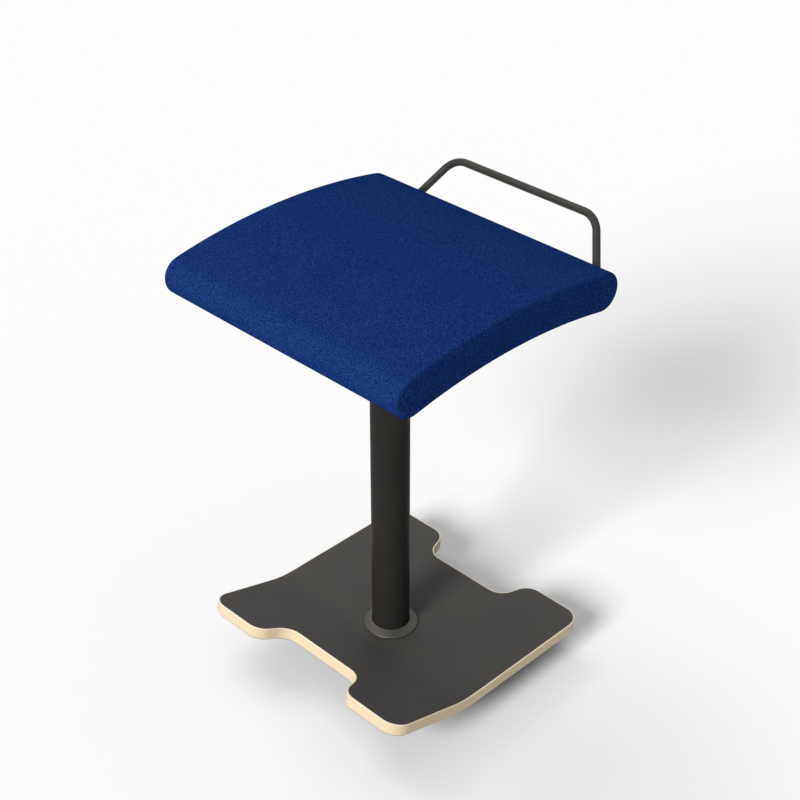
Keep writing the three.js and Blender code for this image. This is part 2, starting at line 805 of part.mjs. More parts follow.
function addLever() {
  const outside = channelInside / 2 + channelWall;
  const shank = pivotCylinder(pivotPinRadius, outside + touchGap + pivotPinHeadThickness);
  const heads = [-1, 1].map((side) => pivotCylinder(pivotPinHead, pivotPinHeadThickness / 2)
    .translate(0, side * (outside + touchGap + pivotPinHeadThickness / 2), 0));
  add('lever_pivot_pin', join([shank, ...heads]), 'zinc');

  const half = leverWidth / 2;
  const tip = block(-leverTipOverlap, leverArm, -half, half, tipBottom, tipBottom + leverTip);
  const boss = pivotCylinder(leverBossRadius, half);
  const low = pivotHeight - leverDrop;
  const corners = [
    new THREE.Vector3(leverArm, 0, pivotHeight),
    new THREE.Vector3(leverKnee, 0, low),
    new THREE.Vector3(leverReach, 0, low),
  ];
  const arm = wire(corners, [leverBend], leverRodRadius, plainSides);
  const bore = pivotCylinder(pivotPinRadius + runningGap, half + cutOverrun);
  add('release_lever', cut(join([tip, boss, arm]), [bore]), 'blackSteel');

  const gripEnd = leverReach + gripCover;
  const outline = new THREE.Shape();
  const corner = gripWidth / 2 - gripRounding;
  const start = gripEnd - gripLength + gripRounding;
  const end = gripEnd - gripRounding - corner;
  outline.moveTo(start, -corner);
  outline.lineTo(end, -corner);
  outline.absarc(end, 0, corner, -rightAngle, rightAngle, false);
  outline.lineTo(start, corner);
  const grip = new THREE.ExtrudeGeometry(outline, {
    depth: gripThickness - 2 * gripRounding,
    bevelThickness: gripRounding,
    bevelSize: gripRounding,
    bevelSegments: 2,
    curveSegments: bendSteps,
  }).translate(0, 0, low + gripRounding - gripThickness / 2);
  const rodHole = new THREE.CylinderGeometry(
    leverRodRadius + touchGap,
    leverRodRadius + touchGap,
    gripLength,
    plainSides,
  ).rotateZ(rightAngle).translate(leverReach + touchGap - gripLength / 2, 0, low);
  add('lever_grip', cut(grip, [rodHole]), 'blackPlastic');
}

// Seat pad

// Points on an arc in Y and Z. Angles are measured from +Z towards +Y.
function arcPoints(centre, radius, from, to, steps) {
  return Array.from({ length: steps + 1 }, (_, step) => {
    const angle = from + (to - from) * step / steps;
    return new THREE.Vector2(centre.x + radius * Math.sin(angle), centre.y + radius * Math.cos(angle));
  });
}

// The pad's side outline, drawn in by an inset: underside, rear nose, top, front nose.
function seatOutline(inset) {
  const half = seatThickness / 2 - inset;
  const spread = Math.asin(seatNoseReach / seatCurve);
  const middle = new THREE.Vector2(seatOffset, seatCentre);
  const rear = new THREE.Vector2(seatOffset + seatNoseReach, noseHeight);
  const front = new THREE.Vector2(seatOffset - seatNoseReach, noseHeight);
  return [
    ...arcPoints(middle, seatCurve - half, -spread, spread, seatArcSteps).slice(1),
    ...arcPoints(rear, half, spread + Math.PI, spread, noseSteps).slice(1),
    ...arcPoints(middle, seatCurve + half, spread, -spread, seatArcSteps).slice(1),
    ...arcPoints(front, half, -spread, -spread - Math.PI, noseSteps).slice(1),
  ];
}

// A curved sheet that follows the pad's underside, at a lift above it.
function seatSheet(lift, thickness, length, width) {
  const middle = new THREE.Vector2(seatOffset, seatCentre);
  const low = seatCurve - seatThickness / 2 + lift;
  const reach = length / 2 / seatCurve;
  return alongX([
    ...arcPoints(middle, low, -reach, reach, seatArcSteps),
    ...arcPoints(middle, low + thickness, reach, -reach, seatArcSteps),
  ], width);
}

// Place and turn of a handle tab against the underside cloth. Its local +Z points into the seat.
function tabPlace(side) {
  const radius = seatCurve - seatThickness / 2 + fabricThickness - clothThickness;
  const lean = Math.asin((tabAlong - seatOffset) / radius);
  const up = new THREE.Vector3(0, Math.sin(lean), Math.cos(lean));
  const centre = new THREE.Vector3(side * tabAcross, tabAlong, seatCentre + radius * Math.cos(lean));
  const along = centre.clone().sub(handleKnee(side));
  along.addScaledVector(up, -along.dot(up)).normalize();
  const across = along.clone().cross(up);
  return new THREE.Matrix4().makeBasis(across, along, up).setPosition(centre);
}

function handleKnee(side) {
  return new THREE.Vector3(side * handleKneeAcross, handleKneeAlong, handleKneeHeight);
}

// Where the four handle screws stand, each with +Z into the seat.
function handleScrewPlaces() {
  return [1, -1].flatMap((side) => [1, -1].map((end) => {
    const shift = new THREE.Matrix4().makeTranslation(end * handleScrewSpacing / 2, 0, 0);
    return tabPlace(side).multiply(shift);
  }));
}

function teeFlangeBottom(y) {
  const radius = seatCurve - seatThickness / 2 + boardLift + boardThickness;
  const nearest = Math.abs(y) - Math.abs(seatOffset) - teeFlangeRadius;
  return seatCentre + Math.sqrt(radius ** 2 - nearest ** 2) + touchGap;
}

function addSeatBoard() {
  const board = seatSheet(boardLift, boardThickness, boardLength, boardWidth);
  const boltHoles = seatBoltPlaces().map(([x, y]) => disc(
    teeBarrelRadius + touchGap,
    mechanismBottom,
    teeFlangeBottom(y) - mechanismBottom + cutOverrun,
    screwSides,
  ).translate(x, y, 0));
  const tip = handleScrewLength - tabGap - tabThickness + touchGap;
  const screwHoles = handleScrewPlaces().map((place) => disc(
    handleScrewRadius + touchGap,
    -cutOverrun,
    cutOverrun + tip,
    screwSides,
  ).applyMatrix4(place));
  add('seat_board', cut(board, [...boltHoles, ...screwHoles]), 'plywood');

  const clothLift = fabricThickness - clothThickness;
  const cloth = seatSheet(
    clothLift,
    clothThickness,
    hemOpeningLength - 2 * clothMargin,
    hemOpeningWidth - 2 * clothMargin,
  );
  const clothHoles = seatBoltPlaces().map(([x, y]) => disc(
    seatBoltRadius + touchGap,
    mechanismBottom,
    boardThickness,
    screwSides,
  ).translate(x, y, 0));
  add('underside_cloth', cut(cloth, [...clothHoles, ...screwHoles]), 'blackCloth');
}

function addSeatBolts() {
  seatBoltPlaces().forEach(([x, y], i) => {
    const bolt = screw(seatBoltRadius, seatBoltLength, seatBoltHeadRadius, seatBoltHeadHeight);
    add(`seat_bolt_${i + 1}`, bolt, 'zinc').position.set(x, y, mechanismBottom - touchGap);
    const flangeBase = teeFlangeBottom(y);
    const bore = seatBoltRadius + touchGap;
    const nut = turned([
      [bore, flangeBase - teeBarrelDepth],
      [teeBarrelRadius, flangeBase - teeBarrelDepth],
      [teeBarrelRadius, flangeBase],
      [teeFlangeRadius, flangeBase],
      [teeFlangeRadius, flangeBase + teeFlangeThickness],
      [bore, flangeBase + teeFlangeThickness],
      [bore, flangeBase - teeBarrelDepth],
    ], screwSides);
    add(`tee_nut_${i + 1}`, nut, 'zinc').position.set(x, y, 0);
  });
}

// The whole pad, drawn in all round by an inset smaller than its rounded edge.
function padSolid(inset, bevelSegments) {
  const rounding = seatEdgeRadius - inset;
  const bevel = { bevelThickness: rounding, bevelSize: rounding, bevelSegments };
  return alongX(seatOutline(seatEdgeRadius), seatWidth - 2 * inset, bevel);
}

function addCushion() {
  const pocket = seatSheet(
    boardLift - cutOverrun,
    boardThickness + cutOverrun + touchGap,
    boardLength + 2 * touchGap,
    boardWidth + 2 * touchGap,
  );
  const nutPockets = seatBoltPlaces().map(([x, y]) => disc(
    teeFlangeRadius + touchGap,
    teeFlangeBottom(y) - teeFlangeThickness,
    2 * teeFlangeThickness + touchGap,
    screwSides,
  ).translate(x, y, 0));
  const foam = padSolid(fabricThickness + touchGap, innerEdgeSteps);
  add('seat_foam', cut(foam, [pocket, ...nutPockets]), 'foam');

  const opening = seatSheet(
    -cutOverrun,
    fabricThickness + 2 * cutOverrun,
    hemOpeningLength,
    hemOpeningWidth,
  );
  const inner = padSolid(fabricThickness, innerEdgeSteps);
  add('seat_cover', cut(padSolid(0, outerEdgeSteps), [inner, opening]), 'blueFabric');
}

function addHandle() {
  const sides = [1, -1];
  const axisDrop = tabGap + tabThickness + handleRadius - tabWeld;
  const weldEnd = new THREE.Vector3(0, tabLength / 2, -axisDrop);
  const ends = sides.map((side) => weldEnd.clone().applyMatrix4(tabPlace(side)));
  const tops = sides.map((side) => new THREE.Vector3(side * handleWidth / 2, handleRear, handleHeight));
  const corners = [ends[0], handleKnee(1), tops[0], tops[1], handleKnee(-1), ends[1]];
  const bends = [handleLowBend, handleCornerBend, handleCornerBend, handleLowBend];
  const rod = wire(corners, bends, handleRadius, screwSides);
  const tabs = sides.map((side) => block(
    -tabWidth / 2,
    tabWidth / 2,
    -tabLength / 2,
    tabLength / 2,
    -tabGap - tabThickness,
    -tabGap,
  ).applyMatrix4(tabPlace(side)));
  const holes = handleScrewPlaces().map((place) => disc(
    handleScrewRadius + touchGap,
    -tabGap - tabThickness - cutOverrun,
    tabThickness + 2 * cutOverrun,
    screwSides,
  ).applyMatrix4(place));
  add('seat_handle', cut(join([rod, ...tabs]), holes), 'blackSteel');

  const underTab = new THREE.Matrix4().makeTranslation(0, 0, -tabGap - tabThickness - touchGap);
  handleScrewPlaces().forEach((place, i) => {
    const geometry = screw(
      handleScrewRadius,
      handleScrewLength,
      handleScrewHeadRadius,
      handleScrewHeadHeight,
    );
    const mesh = add(`handle_screw_${i + 1}`, geometry, 'zinc');
    mesh.applyMatrix4(place.multiply(underTab));
  });
}

addFoot();
addAdjuster();
addBase();
addFootplate();
addColumn();
addBearing();
addPistonRod();
addCylinder();
addMechanism();
addLever();
addSeatBoard();
addSeatBolts();
addCushion();
addHandle();

export default stool;
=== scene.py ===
import bmesh
import bpy
import json
import math
from mathutils import Matrix, Vector


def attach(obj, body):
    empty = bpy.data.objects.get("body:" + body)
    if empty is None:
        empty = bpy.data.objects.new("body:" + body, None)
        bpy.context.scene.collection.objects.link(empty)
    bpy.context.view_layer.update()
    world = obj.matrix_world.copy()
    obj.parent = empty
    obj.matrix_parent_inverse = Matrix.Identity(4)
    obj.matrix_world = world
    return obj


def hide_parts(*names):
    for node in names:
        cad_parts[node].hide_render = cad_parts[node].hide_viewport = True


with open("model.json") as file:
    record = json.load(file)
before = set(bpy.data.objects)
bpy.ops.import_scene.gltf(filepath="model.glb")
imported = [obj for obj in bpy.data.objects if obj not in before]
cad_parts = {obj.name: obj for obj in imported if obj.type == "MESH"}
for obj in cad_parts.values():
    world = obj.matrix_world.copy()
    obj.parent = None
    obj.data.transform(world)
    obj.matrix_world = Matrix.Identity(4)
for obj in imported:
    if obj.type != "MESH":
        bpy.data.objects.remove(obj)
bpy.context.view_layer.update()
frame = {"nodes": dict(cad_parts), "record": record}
mm = 0.001


# Ways of modelling

def openForEditing(name):
    piece = bpy.context.object
    piece.name = name
    piece.data.name = name
    bpy.ops.object.transform_apply(location=True, rotation=True, scale=True)
    bpy.ops.object.mode_set(mode="EDIT")
    bpy.ops.mesh.select_all(action="SELECT")
    return piece


def closeEditing(piece):
    bpy.ops.mesh.select_mode(type="VERT")
    bpy.ops.mesh.select_all(action="SELECT")
    bpy.ops.mesh.remove_doubles(threshold=1e-6)
    bpy.ops.mesh.normals_make_consistent(inside=False)
    bpy.ops.object.mode_set(mode="OBJECT")
    return piece


def pickUp(piece):  # makes it the only one selected, and the active one
    bpy.ops.object.select_all(action="DESELECT")
    piece.select_set(True)
    bpy.context.view_layer.objects.active = piece


def reopen(piece):
    pickUp(piece)
    bpy.ops.object.mode_set(mode="EDIT")
    bpy.ops.mesh.select_all(action="SELECT")


def choose(kind, test):  # selects the edges or faces that pass the test
    piece = bpy.context.edit_object
    bpy.ops.mesh.select_mode(type=kind)
    bpy.ops.mesh.select_all(action="DESELECT")
    shape = bmesh.from_edit_mesh(piece.data)
    for item in {"EDGE": shape.edges, "FACE": shape.faces}[kind]:
        if test(item):
            item.select_set(True)
    bmesh.update_edit_mesh(piece.data)


def pull(x=0, y=0, z=0):
    bpy.ops.mesh.extrude_region_move(TRANSFORM_OT_translate={"value": (x * mm, y * mm, z * mm)})


def scaleAbout(centre, x=1, y=1, z=1):
    bpy.ops.transform.resize(value=(x, y, z), center_override=[part * mm for part in centre])


def applyModifier(piece, modifier):
    pickUp(piece)
    bpy.ops.object.modifier_apply(modifier=modifier.name)


def soften(piece, width, segments=3, angle=30):
    bevel = piece.modifiers.new("soft edges", "BEVEL")
    bevel.width = width * mm
    bevel.segments = segments
    bevel.limit_method = "ANGLE"
    bevel.angle_limit = math.radians(angle)
    applyModifier(piece, bevel)


def combine(piece, other, operation):
    boolean = piece.modifiers.new("combine", "BOOLEAN")
    boolean.operation = operation
    boolean.solver = "EXACT"
    boolean.object = other
    applyModifier(piece, boolean)
    bpy.data.objects.remove(other, do_unlink=True)


def cutAway(piece, cutter):
    combine(piece, cutter, "DIFFERENCE")


def weldOn(piece, other):
    combine(piece, other, "UNION")


def bend(piece, radius, start, level, reach=None):
    # Bends the piece about an axis along X. The bend begins at start, and its length is kept at level.
    # A radius over 0 turns the front up. With no reach the whole piece is bent.
    upright = Matrix(((1, 0, 0, 0), (0, 0, 1, -level * mm), (0, -1, 0, start * mm), (0, 0, 0, 1)))
    piece.data.transform(upright)
    heights = [vertex.co.z for vertex in piece.data.vertices]
    low, high = min(heights), max(heights)
    first, last = (0, reach * mm) if reach else (low, high)
    bending = piece.modifiers.new("bend", "SIMPLE_DEFORM")
    bending.deform_method = "BEND"
    bending.deform_axis = "X"
    bending.limits = ((first - low) / (high - low), (last - low) / (high - low))
    bending.angle = (last - first) / (radius * mm)
    applyModifier(piece, bending)
    piece.data.transform(upright.inverted())


def turned(name, profile, at=(0, 0), sides=96, hollow=False):
    # A round piece from pairs of radius and height. A hollow one's profile comes back to its start.
    (radius, height), *others = profile
    bpy.ops.object.select_all(action="DESELECT")
    bpy.ops.mesh.primitive_circle_add(
        vertices=sides,
        radius=radius * mm,
        location=(at[0] * mm, at[1] * mm, height * mm),
        fill_type="NOTHING" if hollow else "NGON",
    )
    piece = openForEditing(name)
    for nextRadius, nextHeight in others:
        pull(z=nextHeight - height)
        share = nextRadius / radius
        scaleAbout((*at, nextHeight), share, share)
        radius, height = nextRadius, nextHeight
    return closeEditing(piece)


def roundedOutline(corners, steps=8):
    # Corners are x, y and the radius of their rounding, anticlockwise.
    points = []
    for index, (x, y, radius) in enumerate(corners):
        corner = Vector((x, y))
        before = (Vector(corners[index - 1][:2]) - corner).normalized()
        after = (Vector(corners[(index + 1) % len(corners)][:2]) - corner).normalized()
        if radius == 0:
            points.append(corner)
            continue
        half = before.angle(after) / 2
        centre = corner + (before + after).normalized() * radius / math.sin(half)
        first = corner + before * radius / math.tan(half) - centre
        sweep = (corner + after * radius / math.tan(half) - centre).angle_signed(first)
        for step in range(steps + 1):
            turn = sweep * step / steps
            points.append(centre + Vector((
                first.x * math.cos(turn) - first.y * math.sin(turn),
                first.x * math.sin(turn) + first.y * math.cos(turn),
            )))
    return points


def drawn(name, outline, height):  # a flat face with that outline, open for editing
    bpy.ops.object.select_all(action="DESELECT")
    bpy.ops.mesh.primitive_circle_add(vertices=len(outline), radius=mm, fill_type="NGON")
    piece = bpy.context.object
    for vertex, point in zip(piece.data.vertices, outline):
        vertex.co = (point.x * mm, point.y * mm, height * mm)
    return openForEditing(name)


def plateOf(name, corners, bottom, top, steps=8):
    drawn(name, roundedOutline(corners, steps), bottom)
    pull(z=top - bottom)
    return closeEditing(bpy.context.object)


def rectangle(x0, x1, y0, y1, radius):
    return [(x0, y0, radius), (x1, y0, radius), (x1, y1, radius), (x0, y1, radius)]


def rod(name, corners, bends, radius, sides=32):
    # A round wire through the corners, bent by those radii.
    points = [Vector(corner) for corner in corners]
    way = (points[1] - points[0]).normalized()
    bpy.ops.object.select_all(action="DESELECT")
    bpy.ops.mesh.primitive_circle_add(
        vertices=sides,
        radius=radius * mm,
        location=points[0] * mm,
        rotation=way.to_track_quat("Z", "Y").to_euler(),
        fill_type="NOTHING",
    )
    piece = openForEditing(name)
    at = points[0]
    for corner, after, bendRadius in zip(points[1:], points[2:], bends):
        nextWay = (after - corner).normalized()
        angle = way.angle(nextWay)
        tangent = bendRadius * math.tan(angle / 2)
        arcStart = corner - way * tangent
        pull(*(arcStart - at))
        side = (nextWay - way * way.dot(nextWay)).normalized()
        bpy.ops.mesh.spin(
            steps=max(4, round(math.degrees(angle) / 6)),
            angle=-angle,
            center=(arcStart + side * bendRadius) * mm,
            axis=way.cross(nextWay).normalized(),
        )
        at = corner + nextWay * tangent
        way = nextWay
    pull(*(points[-1] - at))
    bpy.ops.mesh.select_all(action="SELECT")
    bpy.ops.mesh.fill_holes(sides=0)
    return closeEditing(piece)


def copyOf(piece, name, matrix):
    twin = piece.copy()
    twin.data = piece.data.copy()
    twin.name = name
    twin.data.name = name
    twin.data.transform(matrix)
    bpy.context.collection.objects.link(twin)
    return twin


def shift(x=0, y=0, z=0):
    return Matrix.Translation((x * mm, y * mm, z * mm))


def layAlongX(piece, x, z):  # lays an upright piece down along X
    piece.data.transform(Matrix(((0, 0, 1, x * mm), (0, 1, 0, 0), (-1, 0, 0, z * mm), (0, 0, 0, 1))))
    return piece


def layAlongY(piece, x, z):  # lays an upright piece down along Y
    piece.data.transform(Matrix(((1, 0, 0, x * mm), (0, 0, 1, 0), (0, -1, 0, z * mm), (0, 0, 0, 1))))
    return piece


def smooth(piece, angle=35):
    pickUp(piece)
    bpy.ops.object.shade_smooth_by_angle(angle=math.radians(angle))
    steady = piece.modifiers.new("large faces stay flat", "WEIGHTED_NORMAL")
    steady.keep_sharp = True
    steady.weight = 90
    applyModifier(piece, steady)


def handOver(piece, look, body, slotName, *nodes, angle=35):
    smooth(piece, angle)
    piece.data.materials.clear()
    piece.data.materials.append(look)
    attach(piece, body)
    if nodes:
        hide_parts(*nodes)
    return piece


def keepFlatPlace(piece):  # remembers where each point lay before the board was bent
    places = piece.data.attributes.new("flatPlace", "FLOAT_VECTOR", "POINT")
    for vertex in piece.data.vertices:
        places.data[vertex.index].vector = vertex.co


# Materials

def paint(red, green, blue):
    def linear(value):
        value /= 255
        return value / 12.92 if value <= 0.04045 else ((value + 0.055) / 1.055) ** 2.4
    return (linear(red), linear(green), linear(blue), 1)


def newLook(name, roughness, metallic=0.0):
    look = bpy.data.materials.new(name)
    look.use_nodes = True
    shader = look.node_tree.nodes["Principled BSDF"]
    shader.inputs["Roughness"].default_value = roughness
    shader.inputs["Metallic"].default_value = metallic
    return look, look.node_tree, shader


def node(tree, kind, inputs=None, **settings):
    made = tree.nodes.new("ShaderNode" + kind)
    for key, value in settings.items():
        setattr(made, key, value)
    for key, value in (inputs or {}).items():
        if isinstance(value, bpy.types.NodeSocket):
            tree.links.new(value, made.inputs[key])
        else:
            made.inputs[key].default_value = value
    return made


def objectPlace(tree):
    return node(tree, "TexCoord").outputs["Object"]


def noise(tree, place, scale, detail=2.0, roughness=0.5):
    made = node(tree, "TexNoise", {
        "Vector": place, "Scale": scale, "Detail": detail, "Roughness": roughness,
    })
    return made.outputs["Fac"]


def maths(tree, kind, first, second):
    return node(tree, "Math", {0: first, 1: second}, operation=kind).outputs[0]


def mixOf(tree, first, firstShare, second, secondShare):
    part = maths(tree, "MULTIPLY", first, firstShare)
    return maths(tree, "ADD", part, maths(tree, "MULTIPLY", second, secondShare))


def ramp(tree, factor, *stops):
    made = node(tree, "ValToRGB", {"Fac": factor})
    elements = made.color_ramp.elements
    while len(elements) < len(stops):
        elements.new(0.5)
    for element, (position, colour) in zip(elements, stops):
        element.position = position
        element.color = colour if isinstance(colour, tuple) else (colour, colour, colour, 1)
    return made.outputs["Color"]


def bump(tree, height, strength, distance, under=None):
    inputs = {"Height": height, "Strength": strength, "Distance": distance * mm}
    if under is not None:
        inputs["Normal"] = under
    return node(tree, "Bump", inputs).outputs["Normal"]


def connect(tree, source, shader, socket):
    tree.links.new(source, shader.inputs[socket])


def varyGloss(tree, shader, source, low, high):
    gloss = node(tree, "MapRange", {"Value": source, "To Min": low, "To Max": high})
    connect(tree, gloss.outputs["Result"], shader, "Roughness")


def coatedSteel(name, dark, light, roughness, metallic=0.0, specular=0.02):
    # Powder coat: fine orange peel, and a little unevenness in tone and gloss
    look, tree, shader = newLook(name, roughness, metallic)
    place = objectPlace(tree)
    cloud = noise(tree, place, 22, 3)
    grain = noise(tree, place, 1400, 2, 0.6)
    mixed = mixOf(tree, cloud, 0.6, grain, 0.4)
    connect(tree, ramp(tree, mixed, (0.3, dark), (0.7, light)), shader, "Base Color")
    varyGloss(tree, shader, noise(tree, place, 60, 3), roughness - 0.05, roughness + 0.07)
    connect(tree, bump(tree, grain, 0.25, 0.05), shader, "Normal")
    shader.inputs["Specular IOR Level"].default_value = specular
    return look


def platedSteel(name, dark, light, roughness):
    # Zinc plating: small crystals and soft clouds
    look, tree, shader = newLook(name, roughness, 1.0)
    place = objectPlace(tree)
    crystals = node(tree, "TexVoronoi", {"Vector": place, "Scale": 900}).outputs["Distance"]
    cloud = noise(tree, place, 90, 3)
    mixed = mixOf(tree, crystals, 0.3, cloud, 0.7)
    connect(tree, ramp(tree, mixed, (0.25, dark), (0.7, light)), shader, "Base Color")
    varyGloss(tree, shader, cloud, roughness - 0.08, roughness + 0.12)
    connect(tree, bump(tree, crystals, 0.1, 0.03), shader, "Normal")
    return look


def moulded(name, dark, light, roughness, grainScale=1800):
    look, tree, shader = newLook(name, roughness)
    place = objectPlace(tree)
    grain = noise(tree, place, grainScale, 2, 0.6)
    cloud = noise(tree, place, 40, 3)
    mixed = mixOf(tree, grain, 0.5, cloud, 0.5)
    connect(tree, ramp(tree, mixed, (0.3, dark), (0.7, light)), shader, "Base Color")
    varyGloss(tree, shader, cloud, roughness - 0.06, roughness + 0.06)
    connect(tree, bump(tree, grain, 0.3, 0.08), shader, "Normal")
    return look


wool = {"pitch": 0.0021, "swayScale": 25, "sway": 4.0, "fleckScale": 1000, "threadScale": 700,
        "threadShare": 0.45, "fleckShare": 0.55, "weaveTone": 0.006, "weaveRelief": 0.06}


def woolLook():
    # Milled wool: a plain weave that the nap nearly hides, with light and dark flecks
    look, tree, shader = newLook("blueWool", 0.95)
    place = objectPlace(tree)
    flat = node(tree, "Attribute", attribute_name="flatPlace").outputs["Vector"]
    sway = noise(tree, place, wool["swayScale"], 1)
    parts = node(tree, "SeparateXYZ", {"Vector": flat})
    weave = 0.0
    for way in "XYZ":
        across = mixOf(tree, parts.outputs[way], 2 * math.pi / wool["pitch"], sway, wool["sway"])
        weave = maths(tree, "ADD", maths(tree, "SINE", across, 0.0), weave)
    fleck = noise(tree, place, wool["fleckScale"], 2, 0.6)
    thread = noise(tree, place, wool["threadScale"], 2, 0.6)
    tone = mixOf(tree, thread, wool["threadShare"], fleck, wool["fleckShare"])
    tone = maths(tree, "ADD", tone, maths(tree, "MULTIPLY", weave, wool["weaveTone"]))
    colour = ramp(
        tree, tone,
        (0.37, paint(4, 22, 77)),
        (0.50, paint(15, 40, 96)),
        (0.63, paint(41, 69, 126)),
    )
    connect(tree, colour, shader, "Base Color")
    relief = maths(tree, "ADD", maths(tree, "MULTIPLY", weave, wool["weaveRelief"]), thread)
    connect(tree, bump(tree, relief, 0.5, 0.35), shader, "Normal")
    shader.inputs["Specular IOR Level"].default_value = 0.0
    shader.inputs["Sheen Weight"].default_value = 0.008
    shader.inputs["Sheen Roughness"].default_value = 0.5
    shader.inputs["Sheen Tint"].default_value = paint(70, 105, 190)
    return look


plies = {"pitch": 0.0026, "waver": 0.0004, "plyShare": 0.10, "grainShare": 0.7}


def plywoodLook(arrisHighlightStart, arrisHighlightEnd):
    # Plies along the board's edge, by the height each point had before bending. A band along the top
    # arris is painted paler: a painted highlight where the rounded arris catches the light.
    look, tree, shader = newLook("birchEdge", 0.5)
    flat = node(tree, "Attribute", attribute_name="flatPlace").outputs["Vector"]
    parts = node(tree, "SeparateXYZ", {"Vector": flat})
    waver = maths(tree, "MULTIPLY", noise(tree, flat, 30, 2), plies["waver"])
    depth = maths(tree, "ADD", parts.outputs["Z"], waver)
    layers = maths(tree, "SINE", maths(tree, "MULTIPLY", depth, 2 * math.pi / plies["pitch"]), 0.0)
    along = node(tree, "Mapping", {"Vector": flat, "Scale": (40, 40, 900)}).outputs["Vector"]
    grain = noise(tree, along, 6, 4, 0.6)
    tone = mixOf(tree, layers, plies["plyShare"], grain, plies["grainShare"])
    wood = ramp(
        tree, tone,
        (0.12, paint(203, 179, 143)),
        (0.40, paint(213, 197, 167)),
        (0.70, paint(224, 212, 186)),
    )
    # painted highlight: near its top arris the edge is mixed towards a pale colour
    rim = node(tree, "MapRange", {
        "Value": parts.outputs["Z"], "From Min": arrisHighlightStart * mm, "From Max": arrisHighlightEnd * mm,
    }).outputs["Result"]
    colour = node(tree, "Mix", {0: rim, 6: wood, 7: paint(238, 225, 201)}, data_type="RGBA")
    connect(tree, colour.outputs[2], shader, "Base Color")
    connect(tree, bump(tree, tone, 0.15, 0.08), shader, "Normal")
    shader.inputs["Specular IOR Level"].default_value = 0.2
    return look


def laminateLook():
    look, tree, shader = newLook("darkLaminate", 0.55)
    place = objectPlace(tree)
    grain = noise(tree, place, 1100, 3, 0.7)
    cloud = noise(tree, place, 14, 3)
    mixed = mixOf(tree, grain, 0.6, cloud, 0.4)
    colour = ramp(tree, mixed, (0.3, paint(66, 64, 62)), (0.7, paint(74, 72, 69)))
    connect(tree, colour, shader, "Base Color")
    connect(tree, bump(tree, grain, 0.2, 0.05), shader, "Normal")
    shader.inputs["Specular IOR Level"].default_value = 0.12
    return look


def chromeLook():
    look, tree, shader = newLook("groundChrome", 0.12, 1.0)
    place = objectPlace(tree)
    along = node(tree, "Mapping", {"Vector": place, "Scale": (200, 200, 6000)}).outputs["Vector"]
    lines = noise(tree, along, 1, 2)
    colour = ramp(tree, lines, (0.3, paint(214, 216, 220)), (0.7, paint(236, 237, 240)))
    connect(tree, colour, shader, "Base Color")
    connect(tree, bump(tree, lines, 0.08, 0.01), shader, "Normal")
    return look


def foamLook():
    look, tree, shader = newLook("creamFoam", 0.95)
    place = objectPlace(tree)
    cells = node(tree, "TexVoronoi", {"Vector": place, "Scale": 1100}).outputs["Distance"]
    colour = ramp(tree, cells, (0.1, paint(190, 178, 140)), (0.6, paint(228, 218, 184)))
    connect(tree, colour, shader, "Base Color")
    connect(tree, bump(tree, cells, 0.5, 0.5), shader, "Normal")
    return look


def liningLook():
    # Non-woven cloth with a point-bonded pattern
    look, tree, shader = newLook("blackLining", 0.95)
    place = objectPlace(tree)
    pattern = node(tree, "TexVoronoi", {"Vector": place, "Scale": 420, "Randomness": 0.15})
    bonds = pattern.outputs["Distance"]
    fibre = noise(tree, place, 900, 4, 0.7)
    mixed = mixOf(tree, bonds, 0.5, fibre, 0.5)
    colour = ramp(tree, mixed, (0.3, paint(20, 20, 22)), (0.7, paint(38, 38, 41)))
    connect(tree, colour, shader, "Base Color")
    connect(tree, bump(tree, mixed, 0.5, 0.25), shader, "Normal")
    return look


looks = {
    "rubber": moulded("softRubber", paint(28, 28, 28), paint(40, 40, 40), 0.8, 900),
    # the plywood edge carries a painted highlight along its top arris
    "plywood": plywoodLook(arrisHighlightStart=58.9, arrisHighlightEnd=59.3),
    "laminate": laminateLook(),
    "black_steel": coatedSteel("blackCoat", paint(37, 35, 33), paint(45, 43, 41), 0.45),
    "collar": coatedSteel("satinCollar", paint(70, 68, 65), paint(85, 83, 80), 0.46,
                          metallic=0.8, specular=0.5),
    "zinc": platedSteel("zincPlate", paint(150, 152, 155), paint(196, 198, 202), 0.35),
    "chrome": chromeLook(),
    "black_plastic": moulded("blackPlastic", paint(26, 26, 27), paint(38, 38, 39), 0.5),
    "foam": foamLook(),
    "blue_fabric": woolLook(),
    "black_cloth": liningLook(),
}
print("materials made:", len(looks))

for part in frame["record"]["subparts"]:  # the carried-over pieces, hidden or not
    solid = frame["nodes"][part["node"]]
    solid.data.materials.clear()
    solid.data.materials.append(looks[part["material_slot"]])

# Footplate, drawn flat and then bent. The column comes up through its bore.

plate = {
    "halfWidth": 175, "rear": 188.6, "front": -168.535, "corner": 25,
    "recessDepth": 45, "floorHalf": 66.16, "mouthHalf": 80.79,
    "top": 60, "thickness": 16, "sheet": 0.8, "sheetInset": 1, "rim": 1.5, "rimDrop": 0.06,
    "bendStart": -21.62, "bendRadius": 140, "bendReach": 39.095, "bendCuts": 12,
    "bore": 25.3, "arris": 0.8, "topSoft": 0.12, "underSoft": 0.25,
    "slant": 0.727,  # share of an inset by which the corners of the recesses move
}


def plateCorners(inset=0):
    half, round_ = plate["halfWidth"] - inset, plate["corner"] - inset
    floor = plate["floorHalf"] + plate["slant"] * inset
    mouth = plate["mouthHalf"] + plate["slant"] * inset
    hollow = plate["corner"] + inset
    deep = plate["recessDepth"]
    rear, front = plate["rear"] - inset, plate["front"] + inset
    return [
        (-half, front, round_), (-mouth, front, round_), (-floor, front + deep, hollow),
        (floor, front + deep, hollow), (mouth, front, round_), (half, front, round_),
        (half, rear, round_), (mouth, rear, round_), (floor, rear - deep, hollow),
        (-floor, rear - deep, hollow), (-mouth, rear, round_), (-half, rear, round_),
    ]


